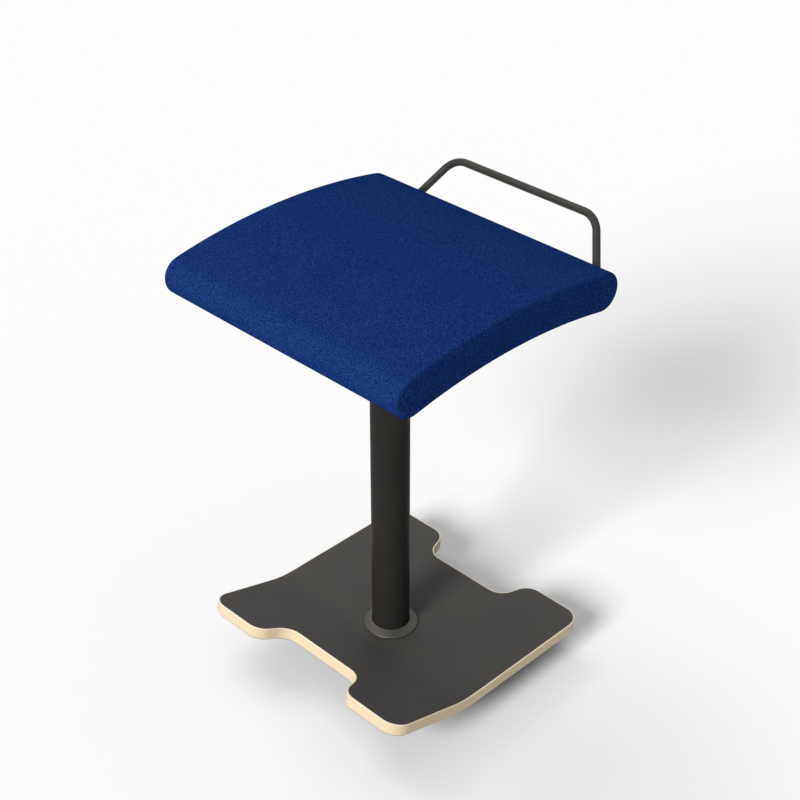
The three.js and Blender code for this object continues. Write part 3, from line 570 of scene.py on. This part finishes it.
def cutForBending(piece):
    reopen(piece)
    for cut in range(plate["bendCuts"] + 1):
        line = plate["bendStart"] - plate["bendReach"] * cut / plate["bendCuts"]
        bpy.ops.mesh.select_all(action="SELECT")
        bpy.ops.mesh.bisect(plane_co=(0, line * mm, 0), plane_no=(0, 1, 0))
    closeEditing(piece)


def bentLayer(name, corners, bottom, top, softness, pocket=None):
    layer = plateOf(name, corners, bottom, top, steps=10)
    bore = plate["bore"]
    cutAway(layer, turned("columnBore", [(bore, bottom - 5), (bore, top + 5)], sides=96))
    soften(layer, softness, 3)
    if pocket:
        cutAway(layer, plateOf("sheetPocket", pocket, plate["top"] - plate["sheet"], top + 5, steps=10))
    cutForBending(layer)
    keepFlatPlace(layer)
    bend(layer, plate["bendRadius"], plate["bendStart"], plate["top"], plate["bendReach"])
    return layer


top, bottom, sheet = plate["top"], plate["top"] - plate["thickness"], plate["sheet"]
handOver(
    bentLayer("footplateBoard", plateCorners(), bottom + sheet, top - plate["rimDrop"], plate["arris"],
              plateCorners(plate["rim"])),
    looks["plywood"], "base", "plywood", "footplate_core", angle=40,
)
handOver(
    bentLayer("footplateTopSheet", plateCorners(plate["rim"]), top - sheet, top, plate["topSoft"]),
    looks["laminate"], "base", "laminate", "footplate_top_laminate", angle=40,
)
handOver(
    bentLayer("footplateUnderSheet", plateCorners(plate["sheetInset"]), bottom, bottom + sheet,
              plate["underSoft"]),
    looks["laminate"], "base", "laminate", "footplate_bottom_laminate", angle=40,
)
print("footplate made")

# Column, with its collar and the plastic guide at the top

column = {"radius": 25, "wall": 2, "bottom": 44, "top": 470.03, "rim": 0.6}
low, high, outer = column["bottom"], column["top"], column["radius"]
inner = outer - column["wall"]
tube = turned("columnTube", [
    (outer, low), (outer, high), (inner, high), (inner, low), (outer, low),
], hollow=True)
soften(tube, column["rim"])
handOver(tube, looks["black_steel"], "base", "black_steel", "column_tube")

collar = {"foot": 36, "neck": 26.3, "bore": 25.3, "bottom": 60.3, "height": 7.7, "lip": 1.6,
          "gap": 0.9, "gapDepth": 1.6, "softness": 0.25}
low, high = collar["bottom"], collar["bottom"] + collar["height"]
bore, widest, neck = collar["bore"], collar["foot"], collar["neck"]
cone = turned("columnCollar", [
    (bore, low), (widest - collar["gapDepth"], low),
    (widest - collar["gapDepth"], low + collar["gap"]), (widest, low + collar["gap"]),
    (widest, low + collar["lip"]), (widest - 1.2, low + collar["lip"] + 1.1),
    (neck + 0.9, high - 0.5), (neck, high), (bore, high), (bore, low),
], hollow=True)
soften(cone, collar["softness"], 2, 20)
handOver(cone, looks["collar"], "base", "collar", "column_collar")

guide = {"outer": 25, "bore": 14.3, "length": 100, "top": 473.53, "lip": 3.5, "clearance": 0.3,
         "softness": 0.3}
fitted = column["radius"] - column["wall"] - guide["clearance"]
low, high = column["top"], guide["top"]
end = high - guide["lip"] - guide["length"]
sleeve = turned("guideSleeve", [
    (guide["bore"], end), (fitted, end), (fitted, low + guide["clearance"]),
    (guide["outer"], low + guide["clearance"]), (guide["outer"], high - 0.8), (guide["outer"] - 1, high),
    (guide["bore"] + 2.2, high), (guide["bore"], high - 1.6), (guide["bore"], end),
], hollow=True)
soften(sleeve, guide["softness"], 2, 20)
handOver(sleeve, looks["black_plastic"], "base", "black_plastic", "guide_sleeve")
print("column made")

# Foot under the plate, and the hand nut that sets its height

foot = {"flat": 38, "widest": 46, "top": 42, "height": 20, "core": 34.3, "sole": 7, "middle": 6,
        "treads": 3, "firstTread": 3, "treadGap": 9, "treadWidth": 2.5, "treadDepth": 1.2,
        "softness": 0.6}
treads, tall = [], foot["treadDepth"]
for tread in range(foot["treads"]):
    ring = foot["flat"] - foot["firstTread"] - foot["treadGap"] * tread
    inside = ring - foot["treadWidth"]
    treads += [(ring, 0), (ring - 0.3, tall), (inside + 0.3, tall), (inside, 0)]
widest, high, sole = foot["widest"], foot["height"], foot["sole"]
pad = turned("footPad", [
    (foot["middle"], 0), *reversed(treads), (foot["flat"], 0), (foot["flat"] + 4.6, 1.1),
    (widest - 0.9, 5), (widest, 9), (widest - 0.8, 14), (foot["top"], high),
    (foot["core"], high), (foot["core"], sole), (foot["middle"], sole),
], sides=72)
soften(pad, foot["softness"], 2, 20)
handOver(pad, looks["rubber"], "foot", "rubber", "foot_pad")

nut = {"radius": 26.4, "hollow": 23.6, "grips": 12, "bottom": 27.9, "height": 7.5, "bore": 8.4,
       "neck": 13, "neckTop": 48.7, "clipLow": 44, "clipHigh": 45.8, "clipDepth": 1.5, "clearance": 0.2,
       "points": 144, "roundness": 0.6, "softness": 0.9}
low, high = nut["bottom"], nut["bottom"] + nut["height"]
rimPoints = []
for step in range(nut["points"]):
    turn = 2 * math.pi * step / nut["points"]
    swell = (0.5 + 0.5 * math.cos(nut["grips"] * turn)) ** nut["roundness"]
    reach = nut["hollow"] + (nut["radius"] - nut["hollow"]) * swell
    rimPoints.append(Vector((math.cos(turn), math.sin(turn))) * reach)
drawn("adjusterNut", rimPoints, low)
pull(z=high - low)
wheel = closeEditing(bpy.context.object)
soften(wheel, nut["softness"], 3, 50)
wide, narrow = nut["neck"] - nut["clearance"], nut["neck"] - nut["clipDepth"]
neck = turned("nutNeck", [  # with the groove of its circlip
    (wide, high - 1), (wide, nut["clipLow"] - 0.15), (narrow, nut["clipLow"]), (narrow, nut["clipHigh"]),
    (wide, nut["clipHigh"] + 0.15), (wide, nut["neckTop"]),
], sides=48)
weldOn(wheel, neck)
cutAway(wheel, turned("nutBore", [(nut["bore"], low - 2), (nut["bore"], nut["neckTop"] + 2)], sides=48))
handOver(wheel, looks["black_plastic"], "adjuster", "black_plastic", "adjuster_nut", angle=30)
print("foot made")

# Steel flange under the board, and the screws that hold it

flange = {"halfWidth": 70, "halfLength": 75, "corner": 20, "bottom": 35.7, "top": 43.7, "bore": 14,
          "softness": 0.9, "across": 56, "along": 58, "screwGap": 0.6}
half, deep = flange["halfWidth"], flange["halfLength"]
flangePlate = plateOf("baseFlange", rectangle(-half, half, -deep, deep, flange["corner"]),
                      flange["bottom"], flange["top"])
cutAway(flangePlate, turned("flangeBore", [
    (flange["bore"], flange["bottom"] - 2), (flange["bore"], flange["top"] + 2),
], sides=64))
soften(flangePlate, flange["softness"], 2)
cutForBending(flangePlate)
bend(flangePlate, plate["bendRadius"], plate["bendStart"], plate["top"], plate["bendReach"])
handOver(flangePlate, looks["black_steel"], "base", "black_steel", "base_flange", angle=30)


def socketScrew(name, shank, length, head, headHeight, socket):
    # Its head hangs below the origin, with the hex socket in it, and its shank stands up.
    bpy.ops.object.select_all(action="DESELECT")
    bpy.ops.mesh.primitive_circle_add(
        vertices=6, radius=socket * mm, location=(0, 0, -0.35 * headHeight * mm), fill_type="NGON",
    )
    piece = openForEditing(name)
    bpy.ops.mesh.subdivide(number_cuts=3)
    pull(z=-0.65 * headHeight)
    at = -headHeight
    radius = socket
    profile = [
        (head * 0.78, at), (head * 0.93, at * 0.8), (head, at * 0.45), (head, 0), (shank, 0),
        (shank, length - shank * 0.7), (shank * 0.55, length),
    ]
    for index, (nextRadius, height) in enumerate(profile):
        pull(z=height - at)
        if index == 0:
            bpy.ops.transform.tosphere(value=1)
            radius = reachOfChosen() / mm
        scaleAbout((0, 0, height), nextRadius / radius, nextRadius / radius)
        radius, at = nextRadius, height
    return closeEditing(piece)


def reachOfChosen():
    shape = bmesh.from_edit_mesh(bpy.context.edit_object.data)
    return max(vertex.co.xy.length for vertex in shape.verts if vertex.select)


flangeScrew = socketScrew("flangeScrew", shank=3, length=19.5, head=5.5, headHeight=3.5, socket=2.3)
depth = plate["thickness"] + flange["screwGap"] + flange["top"] - flange["bottom"]
index = 0
for side in (-1, 1):
    for ahead in (-flange["along"], 0, flange["along"]):
        past = max(0, (ahead + plate["bendStart"]) / plate["bendRadius"])
        angle = min(past, plate["bendReach"] / plate["bendRadius"])
        reach = plate["bendRadius"] + depth
        straight = min(ahead, -plate["bendStart"])
        place = shift(
            side * flange["across"],
            -straight - reach * math.sin(angle),
            plate["top"] + plate["bendRadius"] - reach * math.cos(angle),
        ) @ Matrix.Rotation(-angle, 4, "X")
        index += 1
        handOver(
            copyOf(flangeScrew, f"flangeScrew{index}", place),
            looks["zinc"], "base", "zinc", f"flange_screw_{index}",
        )
bpy.data.objects.remove(flangeScrew, do_unlink=True)
print("flange and screws made")

# Gas lift above the column

lift = {"radius": 14, "inside": 12.5, "bottom": 90, "taperStart": 501.93, "top": 545.93, "tip": 13.2,
        "wall": 1.5, "pinBore": 3.5, "endWall": 7}
bore, low, high = lift["inside"], lift["bottom"], lift["top"]
cylinder = turned("gasCylinder", [
    (bore, low), (lift["radius"] - 0.4, low), (lift["radius"], low + 0.5),
    (lift["radius"], lift["taperStart"]), (lift["tip"], high - 0.6), (lift["tip"] - 0.6, high),
    (lift["pinBore"], high), (lift["pinBore"], high - lift["endWall"]),
    (lift["tip"] - lift["wall"], high - lift["endWall"]), (bore, lift["taperStart"]), (bore, low),
], hollow=True)
handOver(cylinder, looks["black_steel"], "seat", "black_steel", "gas_cylinder", angle=30)

socket = {"outer": 19, "mouth": 14.2, "bore": 13.5, "bottom": 505.93, "top": 545.93,
          "shoulderLow": 532.3, "shoulder": 532.93, "neck": 16.6, "softness": 0.3}
low, high = socket["bottom"], socket["top"]
socketBody = turned("taperSocket", [
    (socket["mouth"], low), (socket["outer"] - 1, low), (socket["outer"], low + 1),
    (socket["outer"], socket["shoulderLow"]), (socket["neck"], socket["shoulder"]),
    (socket["neck"], high), (socket["bore"], high), (socket["mouth"], low),
], hollow=True)
soften(socketBody, socket["softness"], 2, 20)
handOver(socketBody, looks["black_steel"], "seat", "black_steel", "taper_socket")

# Pressed steel plate and channel under the seat

press = {"halfWidth": 80, "halfLength": 85, "bottom": 557.93, "top": 560.93, "sheet": 3, "lip": 10,
         "corner": 12, "boltAcross": 62, "boltAlong": 66, "slot": 4.6, "slotExtra": 1.5,
         "lightX": 44, "lightHalf": 9, "lightReach": 38, "lightCorner": 8.9, "softness": 0.5}
half, deep = press["halfWidth"], press["halfLength"]
low, high = press["bottom"], press["top"]
pressed = plateOf("mechanismPlate", rectangle(-half, half, -deep, deep, press["corner"]), low, high)
for end in (-1, 1):  # lips turned down at the front and the rear
    y0, y1 = sorted((end * deep, end * (deep - press["sheet"])))
    lip = plateOf("lip", rectangle(-half + press["corner"], half - press["corner"], y0, y1, 0),
                  low - press["lip"], high - 0.5)
    soften(lip, 1.2, 3)
    weldOn(pressed, lip)
for x in (-1, 1):
    for y in (-1, 1):
        slotX, slotY = x * press["boltAcross"], y * press["boltAlong"]
        slot, extra = press["slot"], press["slotExtra"]
        cutAway(pressed, plateOf("boltSlot", rectangle(
            slotX - slot, slotX + slot, slotY - slot - extra, slotY + slot + extra, slot - 0.01,
        ), low - 4, high + 4))
for x in (-press["lightX"], press["lightX"]):  # lightening slots
    cutAway(pressed, plateOf("lighteningSlot", rectangle(
        x - press["lightHalf"], x + press["lightHalf"], -press["lightReach"], press["lightReach"],
        press["lightCorner"],
    ), low - 4, high + 4))
soften(pressed, press["softness"], 2, 40)
handOver(pressed, looks["black_steel"], "seat", "black_steel", "mechanism_plate", angle=30)

pivot = {"x": 36, "z": 550.43, "channelHole": 3.3, "leverBore": 3.5, "boss": 6.5, "bossHalf": 7}
channel = {"start": -40, "end": 62, "inside": 17, "wall": 2.5, "bottom": 530.13, "top": 557.63,
           "socketHole": 19.3, "softness": 0.4}
outside = channel["inside"] + channel["wall"]
drawn("leverChannel", roundedOutline([
    (-outside, channel["bottom"], 4), (outside, channel["bottom"], 4),
    (outside, channel["top"], 0), (channel["inside"], channel["top"], 0),
    (channel["inside"], channel["bottom"] + channel["wall"], 1.6),
    (-channel["inside"], channel["bottom"] + channel["wall"], 1.6),
    (-channel["inside"], channel["top"], 0), (-outside, channel["top"], 0),
]), 0)
bpy.ops.object.mode_set(mode="OBJECT")
bpy.context.object.data.transform(Matrix((  # stands the outline across X, at the channel's start
    (0, 0, 1, channel["start"] * mm), (1, 0, 0, 0), (0, 1, 0, 0), (0, 0, 0, 1),
)))
reopen(bpy.context.object)
pull(x=channel["end"] - channel["start"])
bar = closeEditing(bpy.context.object)
bore, low = channel["socketHole"], channel["bottom"]
cutAway(bar, turned("socketHole", [(bore, low - 3), (bore, low + 6)], sides=64))
bore = pivot["channelHole"]
cutAway(bar, layAlongY(turned("pinHole", [(bore, -30), (bore, 30)], sides=32), pivot["x"], pivot["z"]))
soften(bar, channel["softness"], 2, 40)
handOver(bar, looks["black_steel"], "seat", "black_steel", "lever_channel", angle=30)
print("mechanism made")

# Release lever and its grip

lever = {"knee": 72, "drop": 8, "reach": 150, "rod": 4, "bend": 14, "tipStart": -3, "tipHalf": 7,
         "tipLow": 552.93, "tipHigh": 556.93}
low = pivot["z"] - lever["drop"]
arm = rod("releaseLever", [
    (pivot["x"] + 2, 0, pivot["z"] - 0.4), (lever["knee"], 0, low), (lever["reach"], 0, low),
], [lever["bend"]], lever["rod"])
wide, half = pivot["boss"], pivot["bossHalf"]
boss = layAlongY(turned("leverBoss", [(wide, -half), (wide, half)], sides=48), pivot["x"], pivot["z"])
soften(boss, 0.5, 2)
weldOn(arm, boss)
half = lever["tipHalf"]
tip = plateOf("leverTip", rectangle(lever["tipStart"], pivot["x"], -half, half, 3),
              lever["tipLow"], lever["tipHigh"])
soften(tip, 0.6, 2)
weldOn(arm, tip)
bore = pivot["leverBore"]
cutAway(arm, layAlongY(turned("pivotBore", [(bore, -12), (bore, 12)], sides=32), pivot["x"], pivot["z"]))
handOver(arm, looks["black_steel"], "lever", "black_steel", "release_lever", angle=30)

grip = {"start": 105, "end": 153.03, "half": 12, "thickness": 11, "softness": 3, "middle": 542.43,
        "innerCorner": 4, "outerCorner": 11.9, "grooves": 5, "firstGroove": 118, "grooveGap": 5,
        "groove": 1.1, "grooveHalf": 8, "rodHole": 4.3, "rodHoleHalf": 30, "rodHoleX": 120.3}
low, high = grip["middle"] - grip["thickness"] / 2, grip["middle"] + grip["thickness"] / 2
half, inner, outer = grip["half"], grip["innerCorner"], grip["outerCorner"]
paddle = plateOf("leverGrip", [
    (grip["start"], -half, inner), (grip["end"], -half, outer),
    (grip["end"], half, outer), (grip["start"], half, inner),
], low, high, steps=10)
soften(paddle, grip["softness"], 5, 50)
for index in range(grip["grooves"]):
    for face in (low, high):
        bore, half = grip["groove"], grip["grooveHalf"]
        groove = turned("gripGroove", [(bore, -half), (bore, half)], sides=16)
        cutAway(paddle, layAlongY(groove, grip["firstGroove"] + grip["grooveGap"] * index, face))
bore, half = grip["rodHole"], grip["rodHoleHalf"]
rodHole = turned("rodHole", [(bore, -half), (bore, half)], sides=32)
cutAway(paddle, layAlongX(rodHole, grip["rodHoleX"], grip["middle"]))
handOver(paddle, looks["black_plastic"], "lever", "black_plastic", "lever_grip", angle=30)
print("lever made")

# Seat pad. It is shaped flat, filled, and then bent over the board.

seat = {"halfWidth": 193, "curve": 812, "centre": -220.5, "offset": 1.5, "thickness": 51,
        "noseReach": 156.5, "edge": 4, "swell": 0.7, "mesh": 6.5, "noseSteps": 12, "edgeSteps": 4,
        "pressure": 1, "frames": 12, "blankCuts": 16,
        "sideExtra": 0.5, "topExtra": -0.6, "noseExtra": 1.2}
pocket = {"halfWidth": 172.3, "halfArc": 142.4, "low": -24.0, "high": -12.0, "clearance": 0.3}
hem = {"halfWidth": 160, "halfArc": 126, "low": -30, "high": -23}
middle = seat["centre"] + seat["curve"]
halfLength = seat["curve"] * math.asin(seat["noseReach"] / seat["curve"]) + seat["thickness"] / 2


def bendOverBoard(piece):
    bend(piece, -seat["curve"], seat["offset"], middle)


def bentBlank(name, halfWidth, halfArc, low, high, corner=0):
    # A blank curved as the pad is. Low and high are from the middle of the pad's thickness.
    blank = plateOf(name, rectangle(
        -halfWidth, halfWidth, seat["offset"] - halfArc, seat["offset"] + halfArc, corner,
    ), middle + low, middle + high)
    reopen(blank)
    for cut in range(1 - seat["blankCuts"], seat["blankCuts"]):
        place = seat["offset"] + (halfArc - corner) * cut / seat["blankCuts"]
        bpy.ops.mesh.select_all(action="SELECT")
        bpy.ops.mesh.bisect(plane_co=(0, place * mm, 0), plane_no=(0, 1, 0))
    closeEditing(blank)
    bendOverBoard(blank)
    return blank


def onPad(x, y, depth):  # a place under the pad, with Z into it
    turn = (y - seat["offset"]) / seat["curve"]
    reach = seat["curve"] + depth
    spot = shift(x, seat["offset"] + reach * math.sin(turn), seat["centre"] + reach * math.cos(turn))
    return spot @ Matrix.Rotation(-turn, 4, "X")


def fill(piece, pressure, cap, frames):
    # The filling presses the cover out, by cap at most.
    before = [(vertex.co.copy(), vertex.normal.copy()) for vertex in piece.data.vertices]
    cloth = piece.modifiers.new("filling", "CLOTH")
    cloth.settings.use_pressure = True
    cloth.settings.uniform_pressure_force = pressure
    cloth.settings.effector_weights.gravity = 0
    cloth.point_cache.frame_start = 1
    cloth.point_cache.frame_end = frames
    for step in range(1, frames + 1):
        bpy.context.scene.frame_set(step)
    applyModifier(piece, cloth)
    bpy.context.scene.frame_set(1)
    vertices = piece.data.vertices
    moves = [(vertex.co - was).dot(outward) for vertex, (was, outward) in zip(vertices, before)]
    share = cap * mm / max(moves)
    for vertex, move, (was, outward) in zip(vertices, moves, before):
        vertex.co = was + outward * max(move * share, 0)
    print("cover pressed out by", round(max(moves) * share / mm, 2))


bpy.ops.object.select_all(action="DESELECT")
halfX = seat["halfWidth"] + seat["sideExtra"]
halfY = halfLength + seat["noseExtra"]
halfZ = seat["thickness"] / 2 + seat["topExtra"]
edge = seat["edge"]
bpy.ops.mesh.primitive_cube_add(size=2, location=(0, seat["offset"] * mm, middle * mm),
                                scale=((halfX - edge) * mm, halfY * mm, halfZ * mm))
cushion = openForEditing("seatCushion")
choose("EDGE", lambda line: abs(line.verts[0].co.x - line.verts[1].co.x) > 0.1)  # those along X
bpy.ops.mesh.bevel(offset=(halfZ - 0.1) * mm, segments=seat["noseSteps"], affect="EDGES")
bpy.ops.mesh.select_all(action="SELECT")
bpy.ops.mesh.remove_doubles(threshold=0.3 * mm)
choose("FACE", lambda face: abs(face.normal.x) > 0.9)
reach, drawnIn = halfX - edge, 0
for step in range(1, seat["edgeSteps"] + 1):  # the soft edge round both sides
    turn = math.pi / 2 * step / seat["edgeSteps"]
    bpy.ops.mesh.inset(thickness=(edge * (1 - math.cos(turn)) - drawnIn) * mm, use_even_offset=True)
    drawnIn = edge * (1 - math.cos(turn))
    nextReach = halfX - edge + edge * math.sin(turn)
    scaleAbout((0, 0, 0), nextReach / reach)
    reach = nextReach
for direction, centre, reach in (
    ((1, 0, 0), 0, halfX - seat["edge"]),
    ((0, 1, 0), seat["offset"], halfY - halfZ),
    ((0, 0, 1), middle, halfZ - seat["edge"] - 2),
):
    count = round(reach / seat["mesh"])
    for cut in range(-count, count + 1):
        bpy.ops.mesh.select_all(action="SELECT")
        place = Vector(direction) * (centre + reach * cut / count) * mm
        bpy.ops.mesh.bisect(plane_co=place, plane_no=direction)
closeEditing(cushion)
fill(cushion, seat["pressure"], seat["swell"], seat["frames"])
finer = cushion.modifiers.new("finer", "SUBSURF")
finer.levels = finer.render_levels = 1
applyModifier(cushion, finer)
keepFlatPlace(cushion)
bendOverBoard(cushion)
cutAway(cushion, bentBlank("boardPocket", pocket["halfWidth"], pocket["halfArc"],
                           pocket["low"] - pocket["clearance"], pocket["high"] + pocket["clearance"]))
cutAway(cushion, bentBlank("hemOpening", hem["halfWidth"], hem["halfArc"], hem["low"], hem["high"]))
handOver(cushion, looks["blue_fabric"], "seat", "blue_fabric", "seat_cover", "seat_foam", angle=50)
print("seat pad made:", len(cushion.data.polygons), "faces")

# Lining under the seat board. It laps the hem of the cover and is stapled round its edge.

lining = {"halfWidth": 165, "halfArc": 132, "low": -25.5, "high": -25.0, "corner": 6,
          "stapleIn": 4, "stapleGap": 30, "cornerGap": 10, "crown": 10, "wire": 0.9, "leg": 0.7,
          "proud": 0.25}
cloth = bentBlank("seatLining", lining["halfWidth"], lining["halfArc"], lining["low"], lining["high"],
                  lining["corner"])
handOver(cloth, looks["black_cloth"], "seat", "black_cloth", "underside_cloth", angle=50)

staple = plateOf("staple", rectangle(-lining["crown"] / 2, lining["crown"] / 2,
                                     -lining["wire"] / 2, lining["wire"] / 2, 0),
                 -lining["proud"], lining["leg"])
soften(staple, 0.2, 2)
acrossX, alongY = (lining[side] - lining["stapleIn"] for side in ("halfWidth", "halfArc"))
spots = []
for edgeLength, spot in (
    (alongY, lambda run, end: (end * acrossX, run, 90)),
    (acrossX, lambda run, end: (run, end * alongY, 0)),
):
    run = edgeLength - lining["cornerGap"]
    count = round(run / lining["stapleGap"])
    for step in range(-count, count + 1):
        for end in (-1, 1):
            spots.append(spot(run * step / count, end))
copies = []
for index, (x, y, turn) in enumerate(spots):
    place = onPad(x, y + seat["offset"], lining["low"]) @ Matrix.Rotation(math.radians(turn), 4, "Z")
    copies.append(copyOf(staple, f"staple{index}", place))
bpy.data.objects.remove(staple, do_unlink=True)
bpy.ops.object.select_all(action="DESELECT")
for copied in copies:
    copied.select_set(True)
bpy.context.view_layer.objects.active = copies[0]
bpy.ops.object.join()
staples = bpy.context.object
staples.name = staples.data.name = "liningStaples"
handOver(staples, looks["zinc"], "seat", "zinc", angle=40)
print("lining made, staples:", len(copies))

# Bolts, and the wire handle with its tabs and screws

seatBolt = socketScrew("seatBolt", shank=4, length=19.5, head=6.5, headHeight=5, socket=3)
for index, (x, y) in enumerate(((1, 1), (-1, 1), (-1, -1), (1, -1)), 1):
    place = shift(x * press["boltAcross"], y * press["boltAlong"], press["bottom"] - 0.3)
    handOver(
        copyOf(seatBolt, f"seatBolt{index}", place), looks["zinc"], "seat", "zinc", f"seat_bolt_{index}",
    )
bpy.data.objects.remove(seatBolt, do_unlink=True)

handle = {"wire": 5, "topHalf": 116, "rear": 233.7, "height": 621.7, "kneeHalf": 168.8, "kneeY": 177.4,
          "kneeZ": 541.376, "cornerBend": 32, "lowBend": 25, "tabX": 121.5, "tabY": 88,
          "tabLift": 787, "tabWidth": 36, "tabLength": 24, "tabCorner": 5, "tabSheet": 3, "tabGap": 0.5,
          "tabHole": 2.5, "weld": 0.8, "screwSpacing": 22}


def tabPlace(side):  # with Z into the seat and Y towards the low corner of the wire
    lean = math.asin((handle["tabY"] - seat["offset"]) / handle["tabLift"])
    up = Vector((0, math.sin(lean), math.cos(lean)))
    height = seat["centre"] + handle["tabLift"] * math.cos(lean)
    centre = Vector((side * handle["tabX"], handle["tabY"], height))
    along = centre - Vector((side * handle["kneeHalf"], handle["kneeY"], handle["kneeZ"]))
    along = (along - up * along.dot(up)).normalized()
    place = Matrix((along.cross(up), along, up)).transposed().to_4x4()
    place.translation = centre * mm
    return place


def under(side, x, y, z):
    return tabPlace(side) @ (Vector((x, y, z)) * mm) / mm


axisDrop = handle["tabGap"] + handle["tabSheet"] + handle["wire"] - handle["weld"]
ends = {side: under(side, 0, handle["tabLength"] / 2, -axisDrop) for side in (1, -1)}
wire = rod("seatHandle", [
    ends[1], (handle["kneeHalf"], handle["kneeY"], handle["kneeZ"]),
    (handle["topHalf"], handle["rear"], handle["height"]),
    (-handle["topHalf"], handle["rear"], handle["height"]),
    (-handle["kneeHalf"], handle["kneeY"], handle["kneeZ"]), ends[-1],
], [handle["lowBend"], handle["cornerBend"], handle["cornerBend"], handle["lowBend"]],
    handle["wire"], sides=40)
soften(wire, 0.8, 2, 60)
handleScrew = socketScrew("handleScrew", shank=2.2, length=13.5, head=4, headHeight=2.6, socket=1.6)
for side in (1, -1):
    halfX, halfY = handle["tabWidth"] / 2, handle["tabLength"] / 2
    tab = plateOf("tab", rectangle(-halfX, halfX, -halfY, halfY, handle["tabCorner"]),
                  -handle["tabGap"] - handle["tabSheet"], -handle["tabGap"])
    soften(tab, 0.5, 2)
    for end in (-1, 1):
        x, bore = end * handle["screwSpacing"] / 2, handle["tabHole"]
        cutAway(tab, turned("tabHole", [(bore, -6), (bore, 2)], at=(x, 0), sides=32))
    tab.data.transform(tabPlace(side))
    weldOn(wire, tab)
# The handle's coat is the column's black coat made glossier and lighter. The lighter colour is painted
# light, standing in for the handle's reflections.
lightenedWireLook = coatedSteel("handleCoatLightened", paint(47, 46, 43), paint(56, 55, 52), 0.38, specular=0.15)
handOver(wire, lightenedWireLook, "seat", "black_steel", "seat_handle", angle=35)
index = 0
for side in (1, -1):
    for end in (1, -1):
        index += 1
        place = tabPlace(side) @ shift(end * handle["screwSpacing"] / 2, 0,
                                       -handle["tabGap"] - handle["tabSheet"] - 0.3)
        handOver(
            copyOf(handleScrew, f"handleScrew{index}", place),
            looks["zinc"], "seat", "zinc", f"handle_screw_{index}",
        )
bpy.data.objects.remove(handleScrew, do_unlink=True)
print("bolts and handle made")

# Floor, light and camera. The floor and the world look white to the camera and in reflections, and
# light the stool less.

studio = {"floorSize": 12, "floorTone": 0.985, "bounceTone": 0.7, "worldLevel": 0.29, "worldSeen": 0.98,
          "keyLevel": 3.2, "keySpread": 22, "keyFrom": (0.27, -1.7, 1.0),
          "topLevel": 0.72, "topSpread": 40, "topFrom": (-0.6, 0.0, 1.0)}


def seenRays(tree):  # 1 for what the camera and reflections see, 0 for the light that falls on things
    rays = node(tree, "LightPath")
    return maths(tree, "MAXIMUM", rays.outputs["Is Camera Ray"], rays.outputs["Is Glossy Ray"])


bpy.ops.object.select_all(action="DESELECT")
bpy.ops.mesh.primitive_plane_add(size=studio["floorSize"])
floor = bpy.context.object
floor.name = "studioFloor"
floorLook = bpy.data.materials.new("paleFloor")
floorLook.use_nodes = True
tree = floorLook.node_tree
shader = tree.nodes["Principled BSDF"]
shader.inputs["Roughness"].default_value = 1.0
shader.inputs["Specular IOR Level"].default_value = 0.0
tone = ramp(tree, seenRays(tree), (0.0, studio["bounceTone"]), (1.0, studio["floorTone"]))
connect(tree, tone, shader, "Base Color")
floor.data.materials.append(floorLook)

world = bpy.data.worlds.new("studio")
bpy.context.scene.world = world
world.use_nodes = True
tree = world.node_tree
background = tree.nodes["Background"]
level = node(tree, "MapRange", {
    "Value": seenRays(tree), "To Min": studio["worldLevel"], "To Max": studio["worldSeen"],
})
tree.links.new(level.outputs["Result"], background.inputs["Strength"])
background.inputs["Color"].default_value = (1, 1, 1, 1)

for lampName in ("key", "top"):
    lamp = bpy.data.lights.new(lampName, "SUN")
    lamp.energy = studio[lampName + "Level"]
    lamp.angle = math.radians(studio[lampName + "Spread"])
    holder = bpy.data.objects.new(lampName, lamp)
    holder.rotation_euler = Vector(studio[lampName + "From"]).to_track_quat("Z", "Y").to_euler()
    bpy.context.collection.objects.link(holder)

view = {"place": (1185.64, -1169.18, 1491.25), "azimuth": 44.98, "elevation": 32.91, "lens": 72.98,
        "sensor": 36}
lens = bpy.data.cameras.new("photograph")
lens.lens = view["lens"]
lens.sensor_width = view["sensor"]
lens.sensor_fit = "HORIZONTAL"
lens.clip_end = 100
camera = bpy.data.objects.new("photograph", lens)
azimuth, elevation = math.radians(view["azimuth"]), math.radians(view["elevation"])
back = Vector((
    math.sin(azimuth) * math.cos(elevation),
    -math.cos(azimuth) * math.cos(elevation),
    math.sin(elevation),
))
camera.location = Vector(view["place"]) * mm
camera.rotation_euler = back.to_track_quat("Z", "Y").to_euler()
bpy.context.collection.objects.link(camera)
bpy.context.scene.camera = camera
bpy.context.scene.view_settings.view_transform = "Standard"
